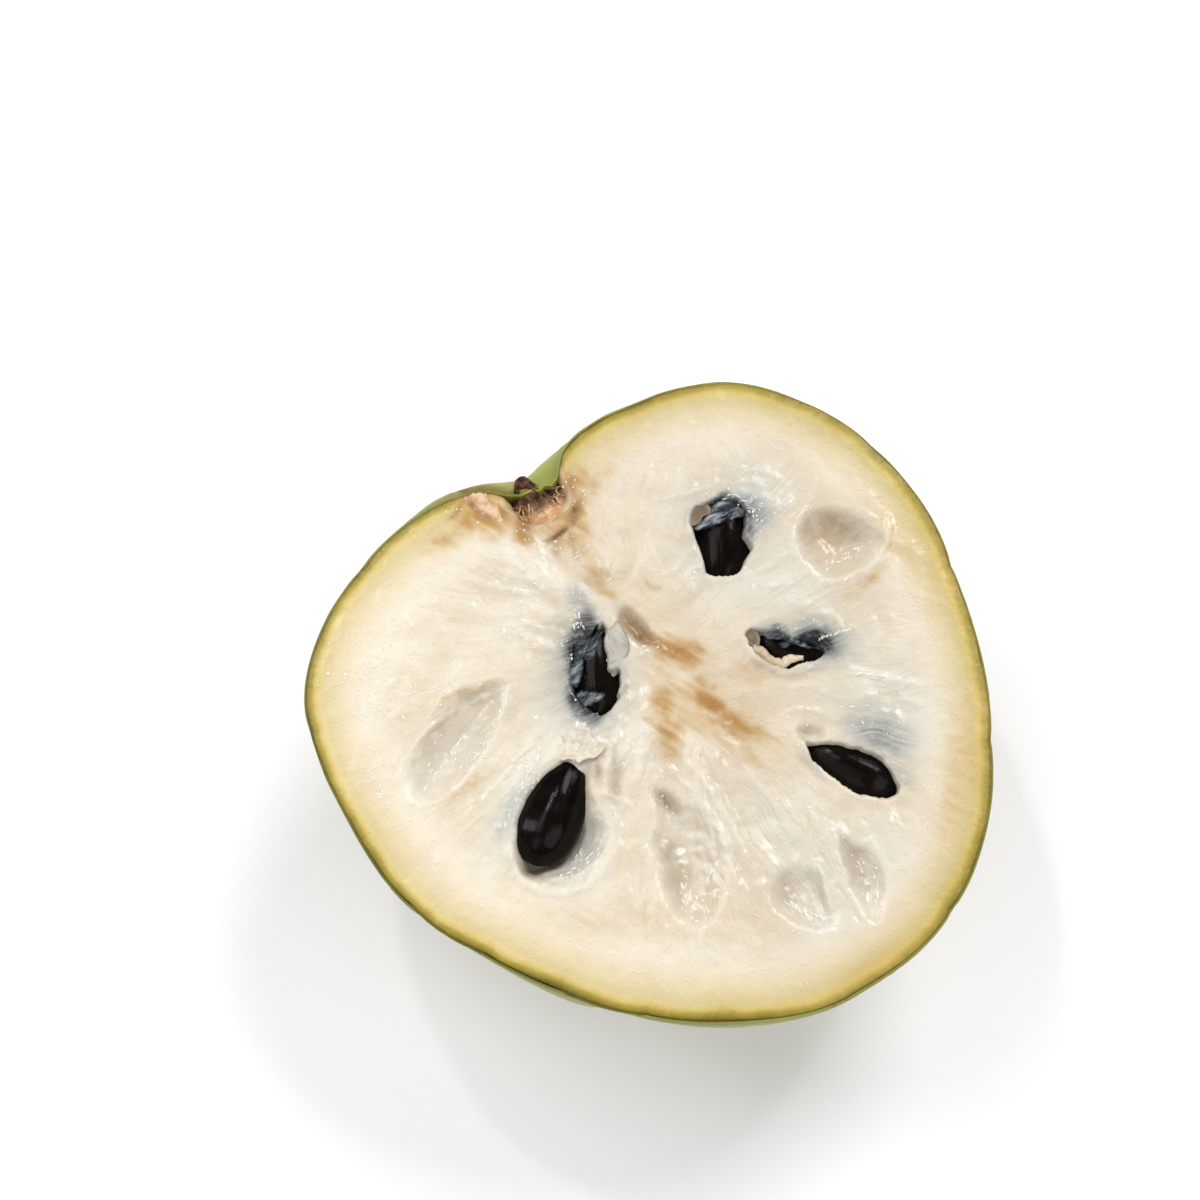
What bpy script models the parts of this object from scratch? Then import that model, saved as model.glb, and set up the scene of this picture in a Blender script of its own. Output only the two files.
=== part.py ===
"""Half of a custard apple, lying on its scaly skin with the cut face up.

Frame: metres, +Z up out of the cut face, +Y towards the stem. The origin is on
the surface that the fruit rests on, below the middle of its box.

Every piece is shaped in the fruit's own frame first. That frame has the cut
face on z = 0 and its zero at the middle of the cut face.
"""

import math

import bmesh
import bpy
import numpy as np
from mathutils import Matrix, Vector

MM = 0.001

# Driving dimensions
CUT_HEIGHT = 44.7 * MM  # the cut face above the surface
FACE_MIDDLE = (0.20 * MM, 2.50 * MM)  # the fruit's own zero, seen from the origin
FIT_GAP = 0.35 * MM  # air between a seed and the flesh around it

# The heart outline of the cut face: its radius every 20 degrees from the stem
# round to the blossom end, on each side, without the dimple at the stem.
OUTLINE_STEP = math.radians(20)
OUTLINE_RIGHT = np.array([47.2, 49.0, 53.5, 53.5, 51.2, 48.7, 48.8, 51.1, 52.9, 52.1]) * MM
OUTLINE_LEFT = np.array([47.2, 50.7, 53.5, 55.4, 51.7, 49.7, 47.2, 47.7, 49.3, 52.1]) * MM
DIMPLE_DEPTH = 7.3 * MM
DIMPLE_ANGLE = math.radians(8)

# The underside, cut lengthwise: a half ellipse, a little shallower than wide.
UNDERSIDE_MIDDLE = -2.45 * MM  # along Y
UNDERSIDE_HALF_LENGTH = 49.65 * MM
UNDERSIDE_DEPTH = 46.6 * MM
TAPER = 0.018  # how much narrower the flank runs halfway down than an ellipse

# The scales of the skin, in a spiral from the stem to the blossom end
SCALE_COUNT = 74
SCALE_TURN = math.radians(137.508)
SCALE_SCATTER = 0.05  # radians, how far a scale strays from the spiral
SCALE_HALF_WIDTH = 12.0 * MM
SCALE_HALF_LENGTH = 13.5 * MM
SCALE_OVERLAP = 0.45  # 0 for plain bosses, towards 1 for tiles
SCALE_RELIEF = 1.8 * MM
SEAM_DEPTH = 0.5 * MM
SEAM_WIDTH = 0.16  # as a share of a scale's half width
PLAIN_ENDS = math.radians(24)  # the relief fades out this near to each end
CUT_RELIEF = 0.25  # the share of the relief that is left at the cut
CUT_FADE = 0.22  # how far under the cut it is full again, as a share of the radius
MEAN_RADIUS = 50.0 * MM

SKIN_SEGMENTS = 116
SKIN_RINGS = 58

# Seeds: middle (x, y), turn of the narrow end from +X, length, width,
# thickness, and how deep the middle lies under the cut face
SEEDS = {
    "seed_top": ((20.6, 18.2), 236, 17.0, 10.4, 7.8, 5.2),
    "seed_right": ((21.6, -1.4), 140, 16.4, 9.6, 7.4, 5.0),
    "seed_lower_right": ((19.2, -21.4), 124, 16.4, 8.8, 7.4, 4.2),
    "seed_middle": ((-6.9, 9.8), 242, 17.2, 9.0, 7.6, 4.4),
    "seed_lower_left": ((-23.0, -5.8), 40, 18.2, 10.4, 8.4, 3.0),
}

# Openings in the cut face: middle (x, y), turn of the narrow end, length,
# width, depth. The first five lie over seeds, and the others are empty.
OPENINGS = {
    "over_seed_top": ((20.2, 18.7), 248, 13.0, 9.0, 4.6),
    "over_seed_right": ((20.1, -0.6), 135, 13.0, 6.2, 4.4),
    "over_seed_lower_right": ((19.1, -21.6), 122, 16.4, 7.6, 4.6),
    "over_seed_middle": ((-6.8, 10.0), 242, 15.6, 7.8, 4.4),
    "over_seed_lower_left": ((-23.6, -8.4), 46, 21.0, 14.8, 6.4),
    "pocket_right": ((36.3, 9.8), 146, 14.8, 10.4, 4.4),
    "pocket_left": ((-30.2, 10.9), 23, 22.4, 9.2, 3.6),
    "pocket_low": ((-10.0, -21.3), 73, 22.4, 10.2, 3.8),
    "pocket_bottom_left": ((2.3, -35.9), 100, 13.0, 7.2, 2.8),
    "pocket_bottom_right": ((12.0, -36.8), 88, 13.8, 6.4, 3.4),
}

OPENING_SINK = 0.15  # millimetres, keeps an opening's tips off the cut plane

# The stump of the stalk, half of which the knife left in the dimple
STALK_MIDDLE = (-0.9 * MM, 37.6 * MM, -0.6 * MM)
STALK_HALF_SIZES = (4.7 * MM, 4.3 * MM, 5.2 * MM)
STALK_GRAIN = 0.5 * MM
STALK_TOP = -0.9 * MM

SKIN_COLOUR = (0.33, 0.40, 0.09, 1)
FLESH_COLOUR = (0.86, 0.78, 0.62, 1)
SEED_COLOUR = (0.012, 0.009, 0.008, 1)
STALK_COLOUR = (0.10, 0.055, 0.025, 1)


def clear_scene():
    for obj in list(bpy.data.objects):
        bpy.data.objects.remove(obj)


def material(name, colour, roughness):
    made = bpy.data.materials.new(name)
    made.use_nodes = True
    shader = made.node_tree.nodes["Principled BSDF"]
    shader.inputs["Base Color"].default_value = colour
    shader.inputs["Roughness"].default_value = roughness
    shader.inputs["Metallic"].default_value = 0.0
    made.diffuse_color = colour
    return made


def collection(name):
    made = bpy.data.collections.new(name)
    bpy.context.scene.collection.children.link(made)
    return made


def move_to(obj, target):
    for old in list(obj.users_collection):
        old.objects.unlink(obj)
    target.objects.link(obj)


def unit_sphere(name, segments, rings):
    """A sphere of radius 1 with its poles on the Y axis."""
    bpy.ops.mesh.primitive_uv_sphere_add(segments=segments, ring_count=rings, radius=1)
    obj = bpy.context.object
    obj.name = name
    obj.data.name = name
    obj.data.transform(Matrix.Rotation(-math.pi / 2, 4, "X"))
    return obj


def points_of(mesh):
    points = np.empty(len(mesh.vertices) * 3)
    mesh.vertices.foreach_get("co", points)
    return points.reshape(-1, 3)


def set_points(mesh, points):
    mesh.vertices.foreach_set("co", points.ravel())
    mesh.update()


def outline_radius(table, angle):
    """A smooth curve through the outline's radii, level at both ends."""
    ends = np.concatenate([table[1:2], table, table[-2:-1]])
    place = np.clip(angle / OUTLINE_STEP, 0, len(table) - 1 - 1e-9)
    start = place.astype(int)
    t = place - start
    a, b, c, d = (ends[start + k] for k in range(4))
    bend = (2 * a - 5 * b + 4 * c - d) * t**2 + (3 * (b - c) + d - a) * t**3
    return 0.5 * (2 * b + (c - a) * t + bend)


def underside_radius(angle):
    """The half ellipse of the underside, as a radius from the fruit's zero."""
    along, down = np.cos(angle), np.sin(angle)
    a = (along / UNDERSIDE_HALF_LENGTH) ** 2 + (down / UNDERSIDE_DEPTH) ** 2
    b = -2 * along * UNDERSIDE_MIDDLE / UNDERSIDE_HALF_LENGTH**2
    c = (UNDERSIDE_MIDDLE / UNDERSIDE_HALF_LENGTH) ** 2 - 1
    return (-b + np.sqrt(b * b - 4 * a * c)) / (2 * a)


def fruit_radius(ways):
    """The smooth fruit's radius along each unit vector, dimple included."""
    x, y, z = ways.T
    angle = np.arccos(np.clip(y, -1, 1))
    across = np.hypot(x, z) + 1e-9
    side = np.where(
        x > 0, outline_radius(OUTLINE_RIGHT, angle), outline_radius(OUTLINE_LEFT, angle)
    )
    share = (x / across) ** 2
    radius = side * share + underside_radius(angle) * (1 - share)
    flank = 2 * np.maximum(-z, 0) * np.sqrt(1 - z**2)
    return radius * (1 - TAPER * flank) - DIMPLE_DEPTH * np.exp(-angle / DIMPLE_ANGLE)


def scale_places():
    """Middles of the scales as (angle from the stem, turn round the axis)."""
    draw = np.random.default_rng(5)
    number = np.arange(SCALE_COUNT)
    angle = np.arccos(1 - 2 * (number + 0.5) / SCALE_COUNT)
    turn = number * SCALE_TURN
    angle = angle + draw.normal(0, SCALE_SCATTER, SCALE_COUNT)
    turn = turn + draw.normal(0, SCALE_SCATTER, SCALE_COUNT) / np.sin(angle)
    return angle, turn


def scale_relief(ways):
    """How far the skin stands under the top of its scale, along each unit vector.

    Each scale is a boss that falls off gently towards the stem and steeply
    towards the blossom end, and the highest boss shows, as on a tiled roof. A
    seam runs where the two highest bosses meet.
    """
    lowest = np.full(len(ways), 9.0)
    second = np.full(len(ways), 9.0)
    for angle, turn in zip(*scale_places()):
        sa, ca = math.sin(angle), math.cos(angle)
        st, ct = math.sin(turn), math.cos(turn)
        middle = np.array([sa * ct, ca, sa * st])
        to_blossom = np.array([ca * ct, -sa, ca * st])
        around = np.array([-st, 0, ct])
        away = (ways - middle) * MEAN_RADIUS
        s = away @ around / SCALE_HALF_WIDTH
        t = away @ to_blossom / SCALE_HALF_LENGTH
        fall = np.sqrt(s * s + t * t) + SCALE_OVERLAP * t
        fall = np.where(ways @ middle > 0.5, fall, 9.0)
        second = np.minimum(second, np.maximum(lowest, fall))
        lowest = np.minimum(lowest, fall)
    boss = SCALE_RELIEF * np.minimum(lowest, 1.2) ** 2
    seam = SEAM_DEPTH * np.exp(-(((second - lowest) / SEAM_WIDTH) ** 2))
    from_end = np.arcsin(np.clip(np.hypot(ways[:, 0], ways[:, 2]), 0, 1))
    below = np.clip(-ways[:, 2] / CUT_FADE, 0, 1)
    near_cut = CUT_RELIEF + (1 - CUT_RELIEF) * below**2 * (3 - 2 * below)
    return (boss + seam) * np.minimum(from_end / PLAIN_ENDS, 1) * near_cut


def close_flat(bm, height, normal):
    """Cuts away what lies beyond a level plane and closes the hole with one face."""
    bmesh.ops.bisect_plane(
        bm,
        geom=bm.verts[:] + bm.edges[:] + bm.faces[:],
        dist=1e-7,
        plane_co=(0, 0, height),
        plane_no=normal,
        clear_outer=True,
    )
    rim = [edge for edge in bm.edges if edge.is_boundary]
    for edge in rim:
        for vert in edge.verts:
            vert.co.z = height
    return bmesh.ops.holes_fill(bm, edges=rim, sides=0)["faces"]


def fruit(materials):
    """The fruit's half as one solid: scaly skin, flat spot below, cut face on top."""
    obj = unit_sphere("fruit_half", SKIN_SEGMENTS, SKIN_RINGS)
    for each in materials:
        obj.data.materials.append(each)
    ways = points_of(obj.data)
    radius = fruit_radius(ways) - scale_relief(ways)
    set_points(obj.data, ways * radius[:, None])
    bm = bmesh.new()
    bm.from_mesh(obj.data)
    cut_face = close_flat(bm, 0, (0, 0, 1))
    for face in cut_face:
        face.material_index = 1
    bmesh.ops.poke(bm, faces=cut_face)
    close_flat(bm, -CUT_HEIGHT, (0, 0, -1))
    bmesh.ops.recalc_face_normals(bm, faces=bm.faces[:])
    bm.to_mesh(obj.data)
    bm.free()
    return obj


def drop(name, sizes, narrowing, segments, rings):
    """A solid like a seed: its narrow end on +Y, its length along Y, flat along Z."""
    width, length, thickness = sizes
    obj = unit_sphere(name, segments, rings)
    x, y, z = points_of(obj.data).T
    waist = 1 - narrowing * y
    points = np.column_stack(
        [x * waist * width / 2, y * length / 2, z * waist * thickness / 2]
    )
    set_points(obj.data, points)
    return obj


def place(obj, middle, turn, depth):
    """Lays a drop at a place on the cut face with its narrow end turned from +X."""
    turned = Matrix.Rotation(math.radians(turn - 90), 4, "Z")
    where = Matrix.Translation((middle[0] * MM, middle[1] * MM, -depth * MM))
    obj.data.transform(where @ turned)


def seed(name, facts, shine):
    """A seed: a flattened drop with three soft ridges along its length."""
    middle, turn, length, width, thickness, depth = facts
    obj = drop(name, (width * MM, length * MM, thickness * MM), 0.2, 20, 12)
    obj.data.materials.append(shine)
    points = points_of(obj.data)
    round_it = np.arctan2(points[:, 2] / thickness, points[:, 0] / width)
    ridges = 1 + 0.035 * np.cos(4 * round_it + 0.6)
    points[:, 0] *= ridges
    points[:, 2] *= ridges
    set_points(obj.data, points)
    place(obj, middle, turn, depth)
    return obj


def grown(seed_object, name):
    """A copy of a seed, larger by the gap all round, to cut its bed in the flesh."""
    obj = seed_object.copy()
    obj.data = seed_object.data.copy()
    obj.name = name
    points = points_of(obj.data)
    normals = np.array([vertex.normal for vertex in obj.data.vertices])
    set_points(obj.data, points + normals * FIT_GAP)
    return obj


def opening(name, facts):
    """A hollow in the cut face, as deep as stated at its middle."""
    middle, turn, length, width, depth = facts
    obj = drop(name, (width * MM, length * MM, 2 * depth * MM), 0.16, 20, 10)
    place(obj, middle, turn, OPENING_SINK)
    return obj


def stalk_shape(name, growth):
    """The stump's rough woody lump, or its bed when it is given growth."""
    obj = unit_sphere(name, 22, 12)
    ways = points_of(obj.data)
    sizes = np.array(STALK_HALF_SIZES) + growth
    grain = np.sin(9 * ways[:, 0] + 4) * np.cos(7 * ways[:, 2]) * np.sin(5 * ways[:, 1] + 1)
    points = ways * (sizes + STALK_GRAIN * grain[:, None])
    set_points(obj.data, points + np.array(STALK_MIDDLE))
    return obj


def stalk_stump(wood):
    obj = stalk_shape("stalk_stump", 0.0)
    obj.data.materials.append(wood)
    bm = bmesh.new()
    bm.from_mesh(obj.data)
    close_flat(bm, STALK_TOP, (0, 0, 1))
    bmesh.ops.recalc_face_normals(bm, faces=bm.faces[:])
    bm.to_mesh(obj.data)
    bm.free()
    return obj


def make_cutter(obj, cutters, materials):
    obj.data.materials.clear()
    for each in materials:
        obj.data.materials.append(each)
    for face in obj.data.polygons:
        face.material_index = 1
    move_to(obj, cutters)
    obj.hide_render = True
    obj.display_type = "WIRE"


def hollow_out(fruit_object, cutters):
    """Cuts the seeds' beds and the empty pockets out of the flesh."""
    cut = fruit_object.modifiers.new("pockets", "BOOLEAN")
    cut.operation = "DIFFERENCE"
    cut.operand_type = "COLLECTION"
    cut.collection = cutters
    cut.solver = "EXACT"


def main():
    clear_scene()
    pieces = collection("custard_apple")
    cutters = collection("cutters")
    skin = material("skin", SKIN_COLOUR, 0.5)
    flesh = material("flesh", FLESH_COLOUR, 0.3)
    shine = material("seed_coat", SEED_COLOUR, 0.15)
    wood = material("stalk_wood", STALK_COLOUR, 0.8)

    half = fruit((skin, flesh))
    stump = stalk_stump(wood)
    seeds = [seed(name, facts, shine) for name, facts in SEEDS.items()]
    beds = [grown(each, "bed_of_" + each.name) for each in seeds]
    beds += [opening(name, facts) for name, facts in OPENINGS.items()]
    beds.append(stalk_shape("bed_of_stalk", FIT_GAP))
    for bed in beds:
        make_cutter(bed, cutters, (skin, flesh))
    hollow_out(half, cutters)

    frame = bpy.data.objects.new("fruit_frame", None)
    frame.location = Vector((*FACE_MIDDLE, CUT_HEIGHT))
    pieces.objects.link(frame)
    for obj in [half, stump, *seeds]:
        move_to(obj, pieces)
        obj.data.shade_smooth()
        obj.data.set_sharp_from_angle(angle=math.radians(40))
    for obj in [half, stump, *seeds, *beds]:
        obj.parent = frame


main()
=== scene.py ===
"""Half of a custard apple: scaly rind, moist flesh, glossy seeds and a torn stalk scar."""
import math

import bpy
import numpy as np
from mathutils import Matrix, Vector


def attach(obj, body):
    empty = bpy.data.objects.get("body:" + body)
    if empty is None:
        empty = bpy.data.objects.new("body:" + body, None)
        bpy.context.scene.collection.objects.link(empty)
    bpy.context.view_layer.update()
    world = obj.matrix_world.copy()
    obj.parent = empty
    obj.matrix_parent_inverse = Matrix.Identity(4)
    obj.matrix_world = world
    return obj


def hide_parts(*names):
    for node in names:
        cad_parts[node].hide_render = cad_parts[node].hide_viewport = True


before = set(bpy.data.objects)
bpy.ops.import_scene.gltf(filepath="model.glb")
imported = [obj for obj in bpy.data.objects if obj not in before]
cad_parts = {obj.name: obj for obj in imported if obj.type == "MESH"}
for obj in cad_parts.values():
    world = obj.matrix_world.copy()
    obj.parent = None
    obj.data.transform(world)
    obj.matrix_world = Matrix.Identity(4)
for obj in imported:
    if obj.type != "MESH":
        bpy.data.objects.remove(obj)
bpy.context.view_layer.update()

MM = 0.001

# The cut face, as in the solid: its height, and the fruit's own zero on it
CUT_HEIGHT = 44.7
FACE_MIDDLE = (0.2, 2.5)

# The heart outline of the cut face, a radius every 20 degrees from the stem
OUTLINE_STEP = math.radians(20)
OUTLINE_RIGHT = np.array([47.2, 49, 53.5, 53.5, 51.2, 48.7, 48.8, 51.1, 52.9, 52.1])
OUTLINE_LEFT = np.array([47.2, 50.7, 53.5, 55.4, 51.7, 49.7, 47.2, 47.7, 49.3, 52.1])
DIMPLE_DEPTH = 7.3
DIMPLE_ANGLE = math.radians(8)
UNDERSIDE_MIDDLE = -2.45
UNDERSIDE_HALF_LENGTH = 49.65
UNDERSIDE_DEPTH = 46.6
TAPER = 0.018
# Beside the stem the cut edge is drawn in, so that a strip of skin shows past it
PULL_ANGLES = [-44, -36, -24, -16, -12, -9, -7.5, -6, -4, -1.5, 0, 1.5, 3, 5, 6.5, 8, 10, 13, 18]
PULLS = [0, 0.6, 1.3, 1.5, 1.7, 1.9, 2.6, 2.8, 2.5, 0.8, 0.2, 1, 2.6, 3, 2, 1, 0.6, 0.3, 0]
# Below it the skin bulges out
BULGE_ANGLES = [-30, -22, -14, -8, -4, 0, 3, 6, 10, 16]
BULGES = [0, 0.4, 1.1, 1.4, 1, 0.6, 0.9, 0.9, 0.5, 0]

# The scales of the rind
SCALE_COUNT = 74
SCALE_DRAW = 5
TONE_DRAW = 8
SCALE_TURN = math.radians(137.508)
SCALE_SCATTER = 0.05
SCALE_HALF_WIDTH = 12
SCALE_HALF_LENGTH = 13.5
SCALE_OVERLAP = 0.45
SCALE_RELIEF = 1.8
SEAM_DEPTH = 0.5
SEAM_WIDTH = 0.16
PLAIN_ENDS = math.radians(24)
CUT_RELIEF = 0.25
CUT_FADE = 0.22
MEAN_RADIUS = 50
AT_CUT = -1e-4

RIND_SEGMENTS = 150
RIND_RINGS = 75
RIND_CUTS = 3
RIND_THICKNESS = 0.35
# The flesh sits in a well of the rind, as a plug that ends a little above its floor
WELL_DEPTH = 12
WELL_TAPER = 0.93
PLUG_TAPER = 0.925
PLUG_GAP = 0.4
FLESH_GAP = 0.02
FLESH_CELLS = 296
# The ends of the core that the fibres fan out of
CORE_TOP = np.array([0.5, 22])
CORE_END = np.array([2, -8])

# Seeds: middle, turn of the narrow end, length, width, thickness, depth
SEEDS = {
    "seed_top": ((20.6, 18.2), 236, 17, 10.4, 7.8, 5.2),
    "seed_right": ((21.6, -1.4), 140, 16.4, 9.6, 7.4, 5),
    "seed_lower_right": ((19.2, -21.4), 124, 16.4, 8.8, 7.4, 4.2),
    "seed_middle": ((-6.9, 9.8), 242, 17.2, 9, 7.6, 4.4),
    "seed_lower_left": ((-22.7, -4.8), 38, 18.2, 9.8, 8.4, 3),
}

# Hollows of the cut face: depth, reach of the wall, height of the lip, outline
HOLLOWS = {
    "over_seed_top": (9.5, 1.5, 0.1, [
        (17.2, 21.8), (16.4, 18.5), (15.6, 15.4), (17, 13.8), (19.2, 12.8), (20.8, 13.3), (22, 14.2),
        (23.9, 15.3), (23.6, 17.6), (24.8, 19), (25.4, 20.6), (25, 22.6), (23.2, 24.4), (21.2, 25),
        (19.3, 25.1), (17.9, 24), (17.4, 22.9),
    ]),
    "over_seed_right": (9, 1.4, 0.12, [
        (15.5, 3.4), (16.6, 4.3), (17.5, 3.7), (18.6, 2.9), (20.2, 2), (21.6, 0.2), (23, -1.6),
        (24.2, -3.3), (24.6, -4.6), (23, -4.7), (21, -4.4), (19.3, -4.2), (18, -3.5), (16.6, -1.6),
        (15.7, 0.4),
    ]),
    "over_seed_lower_right": (8.6, 1.4, 0.1, [
        (14.9, -15.3), (14.4, -17.8), (15.2, -20.6), (16.2, -23.2), (17.8, -26), (20, -28), (22.4, -28.9),
        (23.7, -28.2), (23.9, -26), (23.6, -23.8), (22, -21), (19.8, -18.6), (17.2, -16.5), (15.6, -15.5),
    ]),
    "over_seed_middle": (9, 1.8, 0.05, [
        (-2.2, 16.3), (-3.6, 15.6), (-5.5, 15.6), (-7.6, 15.2), (-9.6, 13.2), (-11.2, 10.8), (-11.3, 8.2),
        (-10.8, 5.6), (-9.6, 3.8), (-8.2, 3.6), (-6.2, 4.6), (-4.8, 6.4), (-3.7, 8.4), (-4.9, 9.3),
        (-4.6, 11), (-3.4, 13.6), (-2.3, 15),
    ]),
    "over_seed_lower_left": (6.4, 4.6, 0.2, [
        (-31.1, -6.8), (-32.1, -9.2), (-32.3, -11.6), (-31.2, -14), (-29.2, -16.2), (-26.4, -17.3),
        (-23.2, -17.2), (-20, -15.8), (-17.6, -13.4), (-16.5, -10.6), (-16.4, -8), (-15.4, -4.6),
        (-14.3, -1.9), (-15.4, -1), (-16.4, -1.4), (-17.8, 0.7), (-19.6, 0.7), (-22.5, 0.3), (-25.3, -0.7),
        (-28, -2.8), (-30, -5.1),
    ]),
    "pit_above_seed": (1.6, 0.8, 0.08, [
        (14.9, -14.6), (14.8, -13.2), (15.5, -12.6), (16.6, -13.3), (18.2, -14.6), (17.6, -15.6),
        (16.9, -15.8), (15.8, -15),
    ]),
    "pocket_left": (2.5, 5.2, 0.12, [
        (-19.9, 15.6), (-22.5, 16.6), (-25.5, 17.4), (-29, 16.9), (-32.5, 15.4), (-36, 13.4), (-38.8, 11),
        (-40.2, 8.6), (-40.7, 6.6), (-38.6, 5.2), (-35.2, 5), (-31.6, 6.2), (-28, 7.8), (-24.6, 10),
        (-21.8, 12.6), (-20.4, 14.2),
    ]),
    "pocket_right": (2.6, 5.2, 0.15, [
        (30.2, 10.2), (30.6, 13.2), (32.2, 15), (34.6, 15.6), (37.4, 14.4), (39.8, 12), (41.6, 9.4),
        (42.3, 7.2), (41.6, 5.9), (39, 5), (35.6, 4.4), (32.4, 4.8), (30.6, 7),
    ]),
    "pocket_low": (2.4, 6.4, 0.05, [
        (-8.8, -9.8), (-6.8, -11.4), (-5.6, -13.6), (-5, -15.2), (-3.8, -17.4), (-3.6, -20.6), (-4.6, -24),
        (-6.2, -27.4), (-8.6, -30), (-11.2, -31.6), (-13.6, -31.4), (-15.2, -29.4), (-15.8, -26),
        (-14.9, -22.4), (-14, -18.6), (-12.4, -15.8), (-10.4, -14.6), (-9.6, -12.4),
    ]),
    "pocket_bottom_left": (1.6, 4, 0.05, [
        (0.4, -30.2), (-1.4, -31.6), (-2.1, -34.2), (-1.4, -37.4), (0.2, -40), (2.4, -41.6), (4.2, -41.8),
        (5.4, -39.4), (6.2, -36), (5.8, -33), (3.6, -30.8), (2, -30),
    ]),
    "pocket_bottom_right": (1.9, 3.8, 0.08, [
        (11.8, -29.8), (10.4, -32.6), (9.6, -35.6), (8.9, -38.6), (8.8, -41.6), (9.6, -44.2), (11.6, -43),
        (13.4, -41), (14.6, -38.6), (15, -36), (14.4, -34), (13.4, -32.6), (12.4, -30.8),
    ]),
    "cleft": (1.2, 1.6, 0, [
        (0.4, 16.3), (2.6, 16.2), (3.4, 14), (3.6, 11), (2.6, 9.6), (1.4, 10), (0.2, 12.4),
    ]),
    "scar": (7, 3.4, 0, [
        (-5.6, 46), (-5.4, 41), (-5, 38), (-4.2, 36), (-2, 34.6), (0.6, 34.8), (2.6, 35.8), (3.4, 38),
        (3.9, 41), (4.4, 46),
    ]),
}
BEDS = ["over_seed_" + where for where in ("top", "right", "lower_right", "middle", "lower_left")]

# Soft patches on the flesh: middle, half length, half width, turn, strength
VEILS = [
    (24.6, 22, 4.6, 2.4, -62, 0.8), (22.6, 24.2, 3.6, 1.4, 8, 0.8), (22.4, 20.8, 10, 7.6, 20, 0.32),
    (24.9, 19, 3.6, 2.2, 70, 0.6), (18, 23.6, 3, 2.4, 60, 0.3), (26.2, 21, 5.4, 3.8, -60, 0.48),
    (24.4, -2.6, 4, 2.6, -50, 1), (24.8, -2.6, 6.4, 4.4, -42, 0.56), (20.2, 2, 3.6, 1.8, -38, 0.52),
    (22.4, -6, 3, 1.4, -20, 0.3), (25.4, -20, 7, 4.6, -60, 0.42), (23.4, -17.4, 4, 2, -55, 0.34),
    (13.9, -18.6, 4.6, 1.5, 98, 0.28), (24.6, -26.6, 3.4, 1.6, -70, 0.36), (-9, 8.6, 6.8, 4.2, 66, 1),
    (-6.8, 14.4, 5, 3.6, 42, 0.95), (-8.2, 10.6, 11.6, 7.4, 62, 0.46), (-4.4, 17.6, 3.8, 2.6, 60, 0.62),
    (-3.6, 20.6, 4.2, 2.6, 75, 0.36), (-29.6, -2.8, 5.6, 2, 42, 0.26),
]
COOL = [
    (22, 8.4, 14, 5, -35, 0.58), (28, 22, 8, 6, 50, 0.61), (26, 12, 6, 5, 0, 0.54),
    (29, -16, 13, 7.5, -45, 0.58), (17, 27.4, 8, 3.6, 20, 0.4), (-28.6, -2.6, 9, 3.6, 40, 0.65),
    (-22, -12.8, 8.4, 3.6, 32, 0.72), (6, -30, 12, 8, 90, 0.43), (34, 0, 8, 6, 0, 0.25),
    (-28, 11, 12, 5, 20, 0.32), (18, -33, 8, 6, 30, 0.36), (2, -22, 10, 6, 80, 0.29),
    (12.4, 19.4, 4.4, 3, 80, 0.36), (-16.6, 10, 6, 4.6, 80, 0.36), (30.6, -5, 5, 3.6, 0, 0.43),
]
# Grey-brown patches: partly stain, partly painted shade on the shaded walls of hollows and in clefts
HOLLOW_SHADE_AND_STAIN = [
    (1.9, 12.8, 4, 1.5, 100, 0.9), (0.4, 8.4, 3.2, 1.8, 60, 0.25), (-7.7, -12.3, 3, 1.3, -72, 0.95),
    (-11.4, -19.6, 3, 2.2, 60, 0.62), (-11.8, -23.4, 3.6, 2.8, 60, 0.55), (-31, -11.8, 4.4, 1.3, -64, 0.55),
    (-27.4, -14, 3.6, 0.8, -20, 0.35), (1.2, -33, 3, 1.4, 75, 0.55), (37.6, 11.6, 5, 3.4, -50, 0.66),
    (11.8, -34.6, 4.6, 1.6, 82, 0.55), (-14.6, -3.6, 2.2, 0.9, 60, 0.95), (-12.8, -5.6, 4.4, 1.3, 55, 0.75),
    (-4.2, 6.4, 2.8, 0.8, 60, 0.5), (16.2, -13.6, 1.4, 1, -30, 0.5), (16, -2.4, 3.8, 1, -55, 0.65),
    (18.8, -5.4, 3.4, 1, -28, 0.5), (-32.6, 13, 8, 3.2, 20, 0.42), (33.6, 13.4, 3, 2.4, 40, 0.4),
]
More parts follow.
